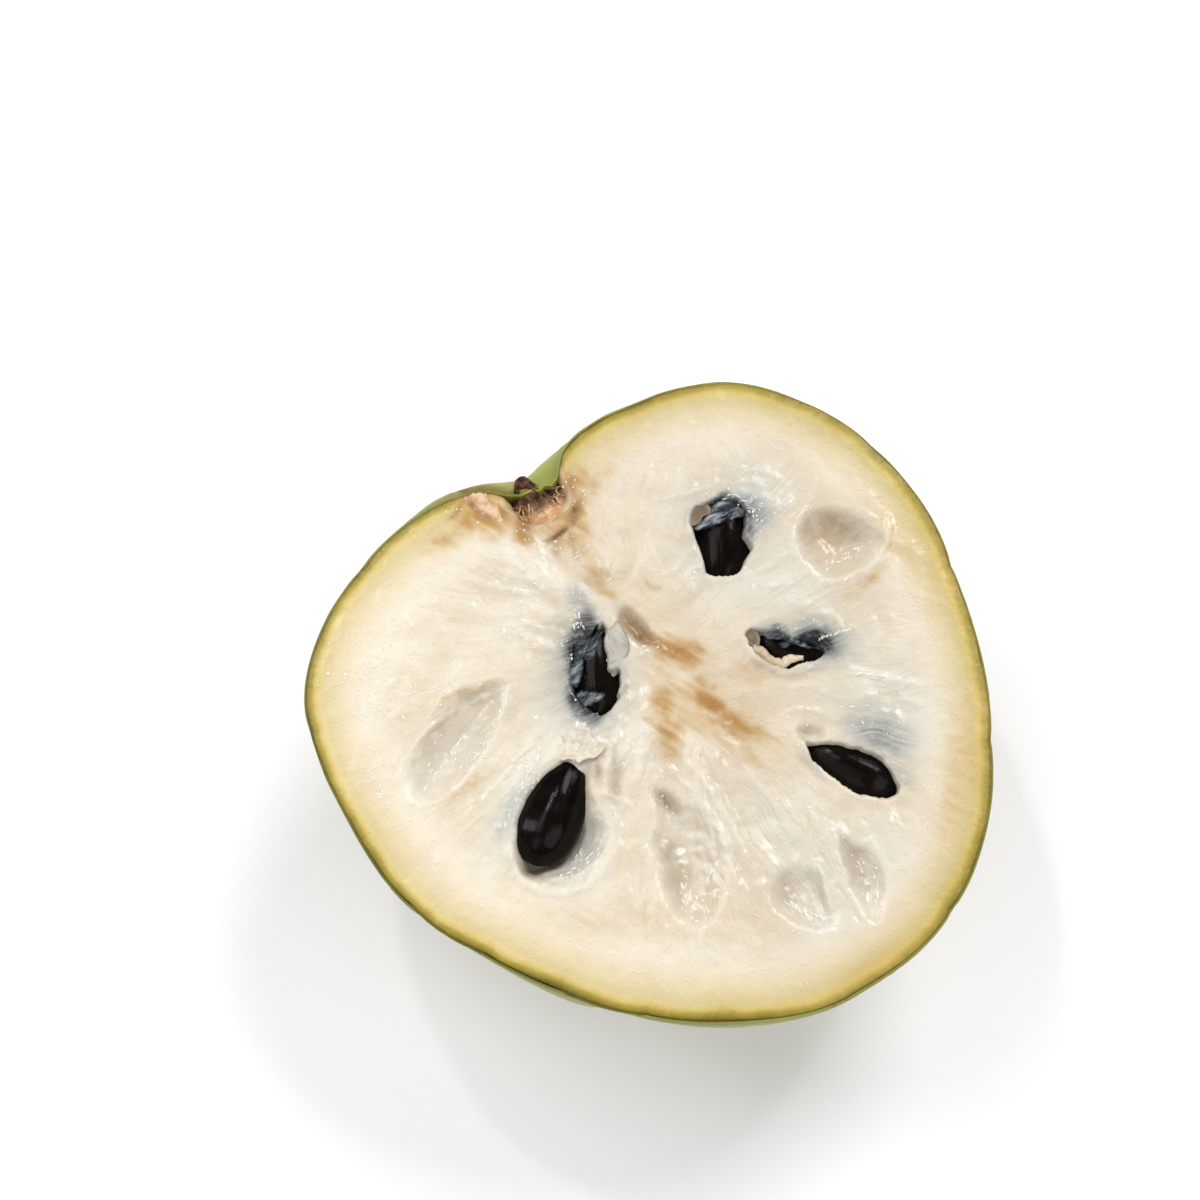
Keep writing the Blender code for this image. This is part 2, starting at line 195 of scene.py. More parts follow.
OCHRE = [
    (1.6, 30, 7, 3, 80, 0.62), (0.8, 22.6, 5.4, 3, 92, 0.62), (7.2, 18.2, 2.2, 1.2, -60, 0.6),
    (7.4, 36.8, 8, 3.4, 10, 0.5), (-1.4, -1.2, 6.4, 2.9, 72, 0.95), (-1.8, -3.8, 5, 3.6, 40, 0.8),
    (5.8, 6.6, 6.2, 2.9, -58, 0.95), (3.8, 9.6, 4.4, 1.6, -70, 0.75), (5.2, -2.4, 7.4, 2.7, -76, 0.92),
    (7, -7.4, 7.4, 2.6, -62, 0.9), (8.8, -10.8, 5.6, 1.5, -52, 0.6), (6.8, -13, 6, 1.5, -72, 0.45),
    (4.2, -13.4, 2.2, 0.9, -80, 0.35), (2.6, -1.6, 14, 8, -78, 0.52), (3.6, 12, 11, 4.6, -78, 0.46),
    (-13, 41, 8, 2.8, 8, 0.7), (5, -49.5, 12, 2.6, 0, 0.4), (2.2, 13, 4.4, 1.8, 100, 0.9),
    (-9, 40.4, 5.4, 3.4, -55, 0.95), (-5.4, 35.4, 4, 2.6, 70, 0.9), (0, 33.6, 4.8, 1.8, 10, 0.85),
    (3.2, 33.4, 3.4, 2.2, 50, 0.95), (-1.2, 30.6, 3.4, 2.4, 80, 0.75), (5.4, 38, 3.4, 3, 60, 0.75),
    (44, 2, 14, 3.6, 95, 0.4), (32, -32, 18, 4.5, 45, 0.42), (37, 2.2, 7, 1.2, 12, 0.45),
    (-33, 4.2, 7, 0.8, 3, 0.36), (-26, 16.8, 6.6, 0.8, -6, 0.62), (-25, -24, 12, 4, -30, 0.3),
    (11, -5, 5, 3, -60, 0.34), (13.4, -2.6, 5, 2.4, -60, 0.45), (34, 28, 9, 5, -45, 0.22),
    (-9.6, 20, 7, 1.2, -52, 0.36), (-12.6, 17.6, 8, 1.2, -58, 0.34), (-7, 24.6, 7, 1.4, -64, 0.3),
    (-4.6, 33.6, 5, 1.4, 80, 0.5), (0.4, 20.6, 3, 2, 10, 0.5), (-8.6, 37, 3, 2.4, 60, 0.55),
    (5.4, 34.8, 3, 2.4, 60, 0.6), (35.6, 12.8, 4, 2.4, -30, 0.4),
]
BROWN = [
    (-0.8, 32.1, 3.4, 0.8, 8, 1), (2.8, 33.6, 2.6, 0.9, 48, 1), (-4.8, 36.2, 2.6, 0.9, 100, 0.95),
    (-0.6, 38.6, 5, 3.4, 0, 1), (-7, 39.6, 3, 1.1, -60, 0.6), (0.2, 29.6, 3.2, 0.6, 80, 0.45),
    (-2.4, 30.2, 2.2, 0.6, 70, 0.45), (-12.4, 43.2, 2.4, 0.6, 25, 0.75), (4.2, 37.8, 3, 1, 80, 0.6),
    (2, 12.6, 4, 1.5, 100, 0.85), (-4.9, 18, 1.2, 1, 60, 0.75), (-4, 15.4, 1.6, 0.8, 20, 0.35),
    (-4.8, 5, 1, 0.4, 60, 0.6),
]
STRANDS = [
    (3.5, -28, 15, 3.6, 86, 0.7), (-2, -14, 12, 3, 75, 0.7), (11, -32, 9, 2, 85, 0.7),
    (-14, 0.6, 6, 2.4, 20, 1), (31, -12, 8, 1.6, -48, 0.9), (-11, -4, 9, 2, 60, 0.8),
    (-8, 28, 10, 5, 100, 0.75), (24, 7.6, 9, 3, -38, 0.6), (-6, -1, 9, 3.4, 60, 0.7),
    (13.5, 17, 3, 2.2, 100, 0.8), (31, 22, 7, 4, -70, 0.7), (34.6, -18, 6, 1.2, -60, 0.7),
    (-12, 20, 9, 4, -56, 0.6), (-6, 33, 5, 3, 100, 0.6),
]
CRUMBS = [(-14.2, 1.4, 5.4, 2.6, -8, 1), (-9, 2.4, 3, 2.4, 40, 0.6)]
# Folds and grooves of the flesh: height, half width, and the line that each follows
FOLDS = [
    (0.4, 0.5, [(6.8, -32.4), (6.4, -35), (5.2, -38), (3.7, -41.4)]),
    (0.34, 0.3, [(0.8, -34.2), (1.7, -36.6), (2.2, -39), (3, -41)]),
    (0.28, 0.26, [(2.5, -35), (3.1, -38), (3.4, -40.6)]),
    (0.3, 0.4, [(-1.6, -36.4), (-0.6, -39.2), (1.4, -41), (3.4, -41.8)]),
    (0.46, 0.46, [(11.5, -29.8), (10.5, -32.4), (9.9, -34.6), (9.4, -38), (8.8, -42.4)]),
    (0.34, 0.4, [(11.2, -28.6), (12.8, -30.8), (13.6, -33), (15.2, -33)]),
    (0.24, 0.34, [(12, -34), (11.2, -38), (10.6, -42)]),
    (-0.26, 0.3, [(9, -25), (8.2, -31), (7.6, -36), (7.8, -43)]),
    (-0.2, 0.3, [(0.2, -13), (0.6, -17), (0.2, -22)]),
    (0.34, 0.55, [(-4.8, -8), (-3.7, -13), (-3.1, -18), (-3.6, -24), (-5, -28.6)]),
    (0.22, 0.45, [(-2.2, -9), (-1.5, -15), (-1.6, -24), (-2, -31)]),
    (0.2, 0.4, [(5, -14), (5.6, -20), (5.4, -27)]),
    (0.24, 0.36, [(-9.6, -15.6), (-8.2, -15), (-7.2, -16.2), (-5.8, -16.2)]),
    (0.26, 0.45, [(-13, -29), (-11.6, -28), (-11.4, -30), (-12.6, -31.4)]),
    (0.2, 0.5, [(-8.4, -17), (-6.2, -20), (-6, -24), (-8.4, -28)]),
    (0.28, 0.22, [(20.7, 2.5), (21.3, 0.6), (22.5, -1.3), (23.4, -3.2), (24.3, -5.1), (25.6, -5.2)]),
    (0.3, 0.3, [(25.2, -2.4), (27, -2.9), (29.9, -3.5)]),
    (0.34, 0.34, [(-37, 13.4), (-34, 14.9), (-30, 15.6), (-26, 15.4), (-22, 15), (-20.2, 15.4)]),
    (0.34, 0.6, [(26.8, 25.6), (29.2, 24.8), (29.9, 22.6), (28.6, 20.6), (26.8, 20)]),
    (0.3, 0.6, [(30.4, 25.8), (32.6, 24), (33.8, 21), (32.8, 18.8), (30.8, 18.6)]),
    (0.22, 0.5, [(25.4, 28.4), (28, 26.6), (31.6, 26), (34.4, 24)]),
    (0.36, 0.55, [(26.6, -9.6), (29, -11), (31.6, -13.4), (35.6, -16.8)]),
    (0.3, 0.35, [(31, -16.6), (32.8, -19.2)]), (0.24, 0.45, [(21, -10), (24.4, -13), (27.6, -14.2)]),
    (0.26, 0.4, [(24, -16), (26.6, -16.6), (28.8, -18)]),
    (0.28, 0.45, [(16, 28.6), (19.6, 27.6), (23, 27)]),
    (0.4, 0.75, [(30.8, 4.6), (33.4, 3.5), (36.4, 3.2), (40.2, 4), (43, 6.4), (44, 9)]),
    (0.26, 0.5, [(29, 9.6), (29.4, 12.6), (31, 15.6), (34, 16.8)]),
    (0.3, 0.55, [(-13.6, 25.6), (-11.6, 21.4), (-8.6, 18.2)]),
    (0.24, 0.5, [(-11, 27), (-8.8, 22.6), (-6.2, 19.6)]),
    (-0.28, 0.5, [(-12.4, 24.6), (-10.2, 20.4), (-7.6, 18)]),
    (0.26, 0.6, [(-15.6, 22), (-13, 18.8), (-10.8, 16.8)]), (0.22, 0.55, [(-17, 33), (-13, 29), (-10, 26)]),
    (0.2, 0.6, [(-9.6, 34), (-8.6, 29), (-7.4, 25.4)]),
    (0.3, 0.4, [(12.4, 13.6), (12.8, 15.8), (14, 17.2), (14.8, 16.6)]),
    (0.26, 0.4, [(10, 18.2), (12.4, 17.6), (14.2, 17.6), (15.2, 16.4)]),
    (0.24, 0.5, [(20, 12), (24, 11.4), (27, 11.6)]), (0.24, 0.4, [(21, 9.6), (23.6, 8), (26, 7.2)]),
    (0.26, 0.5, [(25, 4.6), (26.4, 3), (26, 1.4), (28, 0.6)]),
    (0.34, 0.6, [(15.4, 2), (15, -0.4), (15.8, -2.6), (17.2, -4.2)]),
    (0.3, 0.5, [(17.6, -4.8), (19.4, -5.6), (21.4, -5.8)]),
    (0.26, 0.55, [(13.6, -9.6), (16, -10), (19, -12), (20.6, -14.4)]),
    (0.4, 0.6, [(-31.4, -3.6), (-28.6, -1), (-25.4, 1.2), (-21.6, 2.6)]),
    (0.24, 0.34, [(-31.8, 1.2), (-28.6, 2.2), (-24.6, 4), (-21, 5)]),
    (0.24, 0.34, [(-28, 0.2), (-25, 2.2), (-22.4, 2.8)]),
    (0.3, 0.34, [(-28.6, -14.2), (-25.6, -15.4), (-22.6, -15.6), (-19.6, -14.6)]),
    (0.24, 0.26, [(-24.6, -13.2), (-21.6, -12.6), (-18.4, -12)]),
    (0.4, 0.5, [(-17.2, -5.6), (-14.6, -8.2), (-13, -10.6)]),
    (0.3, 0.6, [(-13.2, -4), (-10.4, -1.4), (-6.4, 3), (-4, 6.4)]),
    (-0.4, 0.5, [(-13.6, -7.4), (-12, -4.4), (-10, -1.6)]),
    (0.26, 0.5, [(-9.6, -7.6), (-7.6, -4.6), (-4.6, 0), (-2.2, 4)]),
    (0.24, 0.4, [(0.4, 9), (2, 9.4), (3.4, 8.6), (4.4, 6.8)]),
    (-0.4, 0.6, [(1, 15.8), (2, 12.6), (2.8, 9.8)]),
    (0.14, 0.5, [(-3.6, 32.8), (-1, 33.8), (1.6, 33.6), (3.4, 35)]),
    (-0.22, 0.4, [(-3.4, 31.6), (-0.6, 32.2), (2, 32.4), (4, 34.2)]),
    (0.34, 0.45, [(-6.4, 40.4), (-5.4, 37.4), (-4.6, 34.6), (-4.8, 31)]),
]
# Beads of juice, coloured white as painted glints: middle, half length, half width, turn, how many
GLINT_BEADS = [
    (-38, 30, 16, 8, 112, 150), (-44, 12, 10, 2.6, 92, 40), (-30, 22, 9, 5, 0, 36),
    (-5.2, 19, 1.6, 0.9, 60, 15), (-8, 13.6, 1.8, 1, 20, 13), (-10.8, 9.6, 2.4, 0.8, 60, 8),
    (-8.4, 16.2, 2.4, 0.6, -20, 9), (-6, 10.6, 2.4, 0.4, 20, 7), (1.4, 9.2, 0.9, 0.6, 60, 7),
    (-1.6, 14.6, 1, 0.6, 0, 4), (-3.6, 22.4, 1, 2.4, 0, 9), (1, 21.4, 3, 1.6, 0, 12),
    (-12, 43.4, 5, 1, 0, 13), (-4, 36, 3, 3.4, 0, 12), (4.6, 36, 2, 3.4, 0, 14), (-3, 30.6, 3.4, 1.6, 0, 9),
    (26.8, 19.4, 1.6, 2.4, 0, 16), (21.4, 24.2, 3.6, 1.8, 0, 9), (17.4, 27, 4, 0.8, 10, 6),
    (27, -2.8, 2.6, 0.3, -8, 12), (19, 1.4, 1.8, 1, 0, 7), (25, 1.2, 4, 1.6, -20, 8),
    (24, -17, 4.4, 1.6, -30, 9), (28.6, -12.4, 4, 1.4, -45, 9), (-27.4, 9.2, 6.6, 0.9, 25, 16),
    (-26.4, -1.4, 6, 0.7, 30, 22), (-24, -14.8, 4.6, 0.9, 18, 14), (-25.4, 1.6, 7, 1.4, 26, 18),
    (8, -28, 8, 7, 0, 22), (1.2, -38.6, 2.6, 3, 0, 15), (12.2, -38.6, 1.8, 4.4, 0, 15),
    (-10.8, -29.4, 2.8, 2, 0, 9), (-8, -13.4, 1.6, 3.4, 0, 9), (36.4, 7.2, 4.4, 0.7, 0, 11),
    (-10, -6, 6, 5, 60, 16), (-14, 4.4, 5, 2, 0, 9), (29, 26, 6, 3.6, -20, 12), (33, 18, 5, 3, -20, 8),
    (-20, 36, 9, 4, 20, 16), (12, -10, 6, 5, 60, 9), (-24, 4, 9, 1.6, 8, 8), (-9.2, 5.6, 1.8, 1.4, 0, 8),
]
BEAD_LENGTH = (0.12, 0.26)
# Painted glints as longer white streaks: the same, for longer drops that lie along their cluster
GLINTS = [
    (-27.6, 8.6, 5.6, 0.8, 27, 12), (-23, 11.6, 2.4, 0.6, 38, 5), (-33.4, 8, 2, 0.5, 45, 4),
    (-36.6, 9, 2, 1, 20, 4), (-26, -0.2, 6, 0.5, 33, 13), (-22.4, 2, 2.4, 0.5, 36, 5),
    (-30.6, -3.6, 3, 0.5, 46, 5), (-24.6, 3.6, 4.4, 0.5, 26, 6), (-24, -15.6, 3.6, 0.8, 18, 8),
    (-25.4, -14.4, 2, 0.4, 8, 4), (-20.4, -13.6, 2.8, 0.8, 30, 6), (-22.8, -12.6, 2.4, 0.4, 28, 4),
    (2.6, -38.4, 3.4, 0.6, -62, 7), (1, -36.4, 2.6, 0.5, -68, 5), (12.2, -36.6, 2, 0.4, 80, 4),
    (12, -41, 1.8, 0.4, 60, 4), (-11.6, -29.6, 2.4, 0.9, 70, 6), (-12.6, -27, 1.6, 0.6, 40, 3),
    (36.2, 7, 2.6, 0.8, 10, 5), (33.2, 7.4, 0.9, 0.6, 70, 3), (27.4, -2.9, 2.4, 0.2, -14, 6),
    (-4, -30, 2.6, 0.5, 80, 3), (22.6, 24, 2.8, 0.6, -10, 5), (26.6, 22.4, 1.6, 1.2, -50, 5),
    (26.2, 19.4, 1.4, 0.5, 70, 3), (29.4, -12, 4.4, 0.7, -42, 6), (32.6, -18.4, 1.6, 0.3, -60, 3),
    (24.4, -14.6, 2.6, 0.6, -28, 4), (-8.4, 6.4, 2.4, 0.9, 10, 6), (-7.2, 13.4, 1.6, 0.6, 20, 5),
    (-5, 18.6, 1.2, 0.7, 60, 4), (-40, 26, 9, 3, 110, 18), (-44, 12, 6, 1.4, 95, 8),
    (-8.6, 30, 5, 2.4, 100, 6), (-14, 21, 4, 1.6, -56, 4), (1, 27.6, 2, 0.6, 10, 4),
    (14, 16.8, 1.6, 0.6, 70, 3), (8.6, -24, 6, 3, 85, 7), (-10, -4, 5, 1.6, 60, 7),
]
GLINT_LENGTH = (0.26, 0.6)
BEAD_DRAW = 101
BEAD_RIM_GAP = 1.6
BEAD_FLOOR = -4.6
BEAD_LIFT = 0.02
# Wet films over the seeds and their height, and the outlines of these and the other thin patches
FILMS = {"film_over_top_seed": -0.55, "film_over_right_seed": -0.5,
         "film_over_middle_seed": -0.45, "film_behind": -0.3}
OUTLINES = {
    "film_over_top_seed": [
        (17, 22.4), (18.8, 22.9), (20.4, 23.7), (22.4, 24.6), (24.6, 24.6), (26.4, 23), (26.6, 21.4),
        (25.2, 20.2), (23.2, 20.7), (20.8, 20.9), (18.8, 21.5),
    ],
    "film_over_right_seed": [
        (17.7, 3.1), (19.4, 2.6), (20.8, 1.8), (22.2, -0.2), (23.6, -2.4), (24.8, -4.2), (23.4, -3.4),
        (22, -1.6), (20.6, 0), (19, 0.2), (17.9, 1),
    ],
    "film_over_middle_seed": [
        (-12.6, 8.2), (-10.8, 8.7), (-9.3, 8.2), (-8, 7.2), (-7.5, 6.2), (-8.6, 5.7), (-10.6, 5.8),
        (-11.8, 6.2), (-12.6, 7.2),
    ],
    "film_behind": [
        (-11.8, 10.6), (-10.4, 12.8), (-8, 15.2), (-5, 16.2), (-2.6, 16.6), (-2.8, 14.6), (-4.6, 13.4),
        (-6.6, 13.6), (-8.2, 12), (-9.6, 10), (-10.8, 9.4),
    ],
    "pale_wedge": [
        (0.3, 15.9), (-0.8, 15.7), (-2.1, 15.4), (-3.2, 13.2), (-4, 11), (-5, 8.4), (-3.2, 8.7),
        (-1.4, 9.5), (-0.5, 10.6), (0, 12.2), (0.1, 14),
    ],
    "torn_lump": [
        (-10.8, 44.2), (-9.2, 44.4), (-7.8, 43.6), (-6.8, 41.6), (-6.6, 39.8), (-7.2, 37.6), (-8.4, 38.6),
        (-9.6, 40), (-10.4, 42),
    ],
    "frayed_flap": [
        (-18.6, 0.9), (-17.4, 0), (-16.6, -1.2), (-15.4, -1), (-14, -1.8), (-12.2, -1.3), (-10.8, 0.6),
        (-10.8, 3), (-13.2, 4.9), (-16.6, 4.6), (-19, 2.8),
    ],
    "recess_top": [
        (17.5, 23), (18, 24.4), (19.4, 25.2), (20.9, 25.1), (21.5, 24.2), (21, 23.4), (19.8, 23.5),
        (18.8, 22.9),
    ],
    "recess_right": [
        (15.3, 3.2), (15.6, 4), (16.4, 4.4), (17.2, 4), (17.5, 2.8), (17, 1.7), (16.2, 1.3), (15.6, 2),
    ],
}
# The strip across the right seed: the points of its line and its half width at each
STRIP = [
    (15.8, 1.6, 0.35), (16.5, 0.5, 0.55), (16.9, -0.8, 0.5), (17.4, -2, 0.6), (18.4, -2.9, 0.65),
    (19.7, -2.7, 0.55), (21.6, -3.6, 0.15),
]
SCAR_FIBRE_COUNT = 44
SCAR_FIBRE_RADIUS = 0.07
SCAR_FIBRE_DRAW = 81
BOW_DRAW = 82
# Lamps: their way as the photo shows it (right, up, out of the floor), distance, size and power
LAMPS = {
    "key": ((0.40, 0.62, 0.82), 1.6, 0.75, 13.2),
    "left_back": ((-0.55, 0.30, 0.95), 1.6, 1.00, 7.6),
    "left_front": ((-0.60, -0.60, 0.85), 1.6, 1.30, 4.6),
    "right_front": ((0.60, -0.55, 0.85), 1.6, 1.40, 9.2),
    "left_low": ((-0.85, 0.30, 0.50), 1.5, 0.40, 3.0),
    "glint": ((-0.30, 0.55, 0.90), 1.5, 0.09, 2.6),
    "second_glint": ((0.45, 0.35, 0.90), 1.5, 0.09, 1.2),
}
LIT_POINT = (0, 0, 0.03)
WORLD_STRENGTH = 0.22
# The camera: its angle over the floor, lens, distance, the middle of its view, and the fruit's turn
VIEW_HEIGHT = math.radians(73)
LENS = 100
CAMERA_DISTANCE = 0.509
VIEW_MIDDLE = (-0.757, 19.57, 0)
FRUIT_TURN = math.radians(30)


# Small helpers for arrays and meshes

def random_hills(x, y, seed, cells=64):
    """Smooth random hills between -1 and 1, about one for each unit of x or y."""
    lattice = np.random.default_rng(seed).uniform(-1, 1, (cells, cells))
    column, row = np.floor(x).astype(int), np.floor(y).astype(int)
    s, t = x - column, y - row
    s, t = s * s * (3 - 2 * s), t * t * (3 - 2 * t)
    left, right = column % cells, (column + 1) % cells
    low, high = row % cells, (row + 1) % cells
    below = lattice[left, low] * (1 - s) + lattice[right, low] * s
    above = lattice[left, high] * (1 - s) + lattice[right, high] * s
    return below * (1 - t) + above * t


def rough_hills(x, y, seed, layers=3):
    """Random hills with finer and lower hills on them."""
    total = 0
    for layer in range(layers):
        total = total + random_hills(x * 2**layer + 7.3 * layer, y * 2**layer, seed + layer) / 2**layer
    return total


def ramp(value, low, high):
    """0 below low, 1 above high, and a smooth rise between them."""
    share = np.clip((value - low) / (high - low), 0, 1)
    return share * share * (3 - 2 * share)


def smooth_loop(points, steps=4):
    """A closed smooth curve through the points."""
    points = np.array(points, float)
    before, after, beyond = (np.roll(points, -k, 0) for k in (-1, 1, 2))
    t = (np.arange(steps) / steps)[:, None, None]
    bend = (2 * before - 5 * points + 4 * after - beyond) * t**2
    bend = bend + (3 * (points - after) + beyond - before) * t**3
    curve = 0.5 * (2 * points + (after - before) * t + bend)
    return curve.transpose(1, 0, 2).reshape(-1, 2)


def line_distance(x, y, line):
    """How far each place lies from an open line."""
    nearest = np.full(x.shape, 1e9)
    for (ax, ay), (bx, by) in zip(line[:-1], line[1:]):
        dx, dy = bx - ax, by - ay
        share = np.clip(((x - ax) * dx + (y - ay) * dy) / (dx * dx + dy * dy), 0, 1)
        nearest = np.minimum(nearest, (x - ax - share * dx) ** 2 + (y - ay - share * dy) ** 2)
    return np.sqrt(nearest)


def inside_distance(x, y, loop):
    """How far each place lies inside a closed loop; negative outside it."""
    inside = np.zeros(x.shape, bool)
    for (ax, ay), (bx, by) in zip(loop, np.roll(loop, -1, 0)):
        inside ^= ((ay > y) != (by > y)) & (x < (bx - ax) * (y - ay) / (by - ay + 1e-12) + ax)
    return np.where(inside, 1, -1) * line_distance(x, y, np.vstack([loop, loop[:1]]))


def soft_patches(x, y, patches, edge=1.3):
    """How strongly the nearest of some soft oval patches covers each place."""
    cover = np.zeros(x.shape)
    for mx, my, length, width, turn, strength in patches:
        c, s = math.cos(math.radians(turn)), math.sin(math.radians(turn))
        along = ((x - mx) * c + (y - my) * s) / length
        across = ((y - my) * c - (x - mx) * s) / width
        cover = np.maximum(cover, strength * np.exp(-1.2 * (along**2 + across**2) ** edge))
    return cover


def turned(across, along, turn):
    """A place that is given across and along a direction, seen in the fruit's frame."""
    c, s = math.cos(turn), math.sin(turn)
    return across * c - along * s, across * s + along * c


def added(name, data):
    obj = bpy.data.objects.new(name, data)
    bpy.context.scene.collection.objects.link(obj)
    return obj


def only(obj):
    if bpy.context.object and bpy.context.object.mode != "OBJECT":
        bpy.ops.object.mode_set(mode="OBJECT")
    bpy.ops.object.select_all(action="DESELECT")
    obj.select_set(True)
    bpy.context.view_layer.objects.active = obj


def named(name):
    obj = bpy.context.object
    obj.name = name
    obj.data.name = name
    only(obj)
    return obj


def points_of(obj):
    points = np.empty(len(obj.data.vertices) * 3)
    obj.data.vertices.foreach_get("co", points)
    return points.reshape(-1, 3)


def set_points(obj, points):
    obj.data.vertices.foreach_set("co", np.asarray(points, float).ravel())
    obj.data.update()


def keep(obj, name, values):
    """Stores a number or a vector for each point, for the material to read."""
    values = np.asarray(values, float)
    kind = "FLOAT" if values.ndim == 1 else "FLOAT_VECTOR"
    made = obj.data.attributes.new(name, kind, "POINT")
    made.data.foreach_set("value" if values.ndim == 1 else "vector", values.ravel())


def choose(obj, chosen):
    """Opens edit mode with only these points selected."""
    only(obj)
    bpy.ops.object.mode_set(mode="EDIT")
    bpy.ops.mesh.select_mode(type="VERT")
    bpy.ops.mesh.select_all(action="DESELECT")
    bpy.ops.object.mode_set(mode="OBJECT")
    obj.data.vertices.foreach_set("select", chosen)
    bpy.ops.object.mode_set(mode="EDIT")


def extend_rim(obj, moved):
    """Extrudes the open edge once, and puts its new points where moved() says."""
    choose(obj, np.zeros(len(obj.data.vertices), bool))
    bpy.ops.mesh.select_non_manifold(extend=False, use_wire=False, use_multi_face=False,
                                     use_non_contiguous=False, use_verts=False)
    bpy.ops.mesh.extrude_region_move()
    bpy.ops.object.mode_set(mode="OBJECT")
    new = np.empty(len(obj.data.vertices), bool)
    obj.data.vertices.foreach_get("select", new)
    points = points_of(obj)
    points[new] = moved(points[new])
    set_points(obj, points)
    bpy.ops.object.mode_set(mode="EDIT")


def close_rim(obj):
    """Fills the selected open edge, and turns all faces outwards."""
    bpy.ops.mesh.edge_face_add()
    bpy.ops.mesh.select_all(action="SELECT")
    bpy.ops.mesh.normals_make_consistent(inside=False)
    bpy.ops.object.mode_set(mode="OBJECT")


def ball(name, segments, rings, cuts, halved=False):
    """A fine ball of radius 1 with its poles on the Y axis, or its lower half."""
    bpy.ops.mesh.primitive_uv_sphere_add(segments=segments, ring_count=rings, radius=1)
    obj = named(name)
    obj.data.transform(Matrix.Rotation(-math.pi / 2, 4, "X"))
    if halved:
        choose(obj, points_of(obj)[:, 2] > 1e-5)
        bpy.ops.mesh.delete(type="VERT")
        bpy.ops.object.mode_set(mode="OBJECT")
    choose(obj, np.ones(len(obj.data.vertices), bool))
    bpy.ops.mesh.subdivide(number_cuts=cuts)
    bpy.ops.object.mode_set(mode="OBJECT")
    ways = points_of(obj)
    set_points(obj, ways / np.linalg.norm(ways, axis=1)[:, None])
    return obj


def to_place(points):
    """From millimetres in the fruit's own frame to metres in the part's frame."""
    return (np.asarray(points) + (*FACE_MIDDLE, CUT_HEIGHT)) * MM


def put(obj, x, y, z):
    """Moves the object's points to these places in the fruit's own frame."""
    set_points(obj, to_place(np.column_stack([x, y, z])))


def from_zero(points):
    """From metres in the part's frame back to millimetres in the fruit's own frame."""
    return (points - to_place((0, 0, 0))) / MM


def inwards(points):
    out = from_zero(points)
    reach = np.hypot(out[:, 0], out[:, 1])[:, None]
    return to_place((0, 0, 0)) + out * (1 - RIND_THICKNESS / reach) * MM


def downwards(taper, level):
    """A function that draws a rim in by this taper and down to this level."""
    def moved(points):
        out = from_zero(points)
        out[:, :2] *= taper
        out[:, 2] = level
        return to_place((0, 0, 0)) + out * MM
    return moved


def thicken(obj, thickness):
    solid = obj.modifiers.new("thickness", "SOLIDIFY")
    solid.thickness = thickness * MM
    solid.offset = 0
    bpy.ops.object.modifier_apply(modifier=solid.name)
    bpy.ops.object.shade_smooth()


def settle(piece, finish, slot, *nodes):
    piece.data.materials.clear()
    piece.data.materials.append(finish)
    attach(piece, "root")
    if nodes:
        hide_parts(*nodes)


# Shader maths, written as expressions

def colour(red, green, blue):
    """A colour that is given as it shows on a screen, 0 to 255."""
    shares = (red / 255, green / 255, blue / 255)
    return (*(s / 12.92 if s < 0.04045 else ((s + 0.055) / 1.055) ** 2.4 for s in shares), 1.0)


class Wire:
    """A number on its way through a material."""

    def __init__(self, finish, socket):
        self.finish = finish
        self.socket = socket

    def maths(self, operation, first, second=None, clamp=False):
        values = {0: first} if second is None else {0: first, 1: second}
        settings = {"operation": operation, "use_clamp": clamp}
        return self.finish.node("ShaderNodeMath", settings, values)

    def __add__(self, other):
        return self.maths("ADD", self, other)

    def __mul__(self, other):
        return self.maths("MULTIPLY", self, other)

    def __sub__(self, other):
        return self.maths("SUBTRACT", self, other)

    def __rsub__(self, other):
        return self.maths("SUBTRACT", other, self)

    def __truediv__(self, other):
        return self.maths("DIVIDE", self, other)

    def __pow__(self, other):
        return self.maths("POWER", self, other)

    __radd__ = __add__
    __rmul__ = __mul__


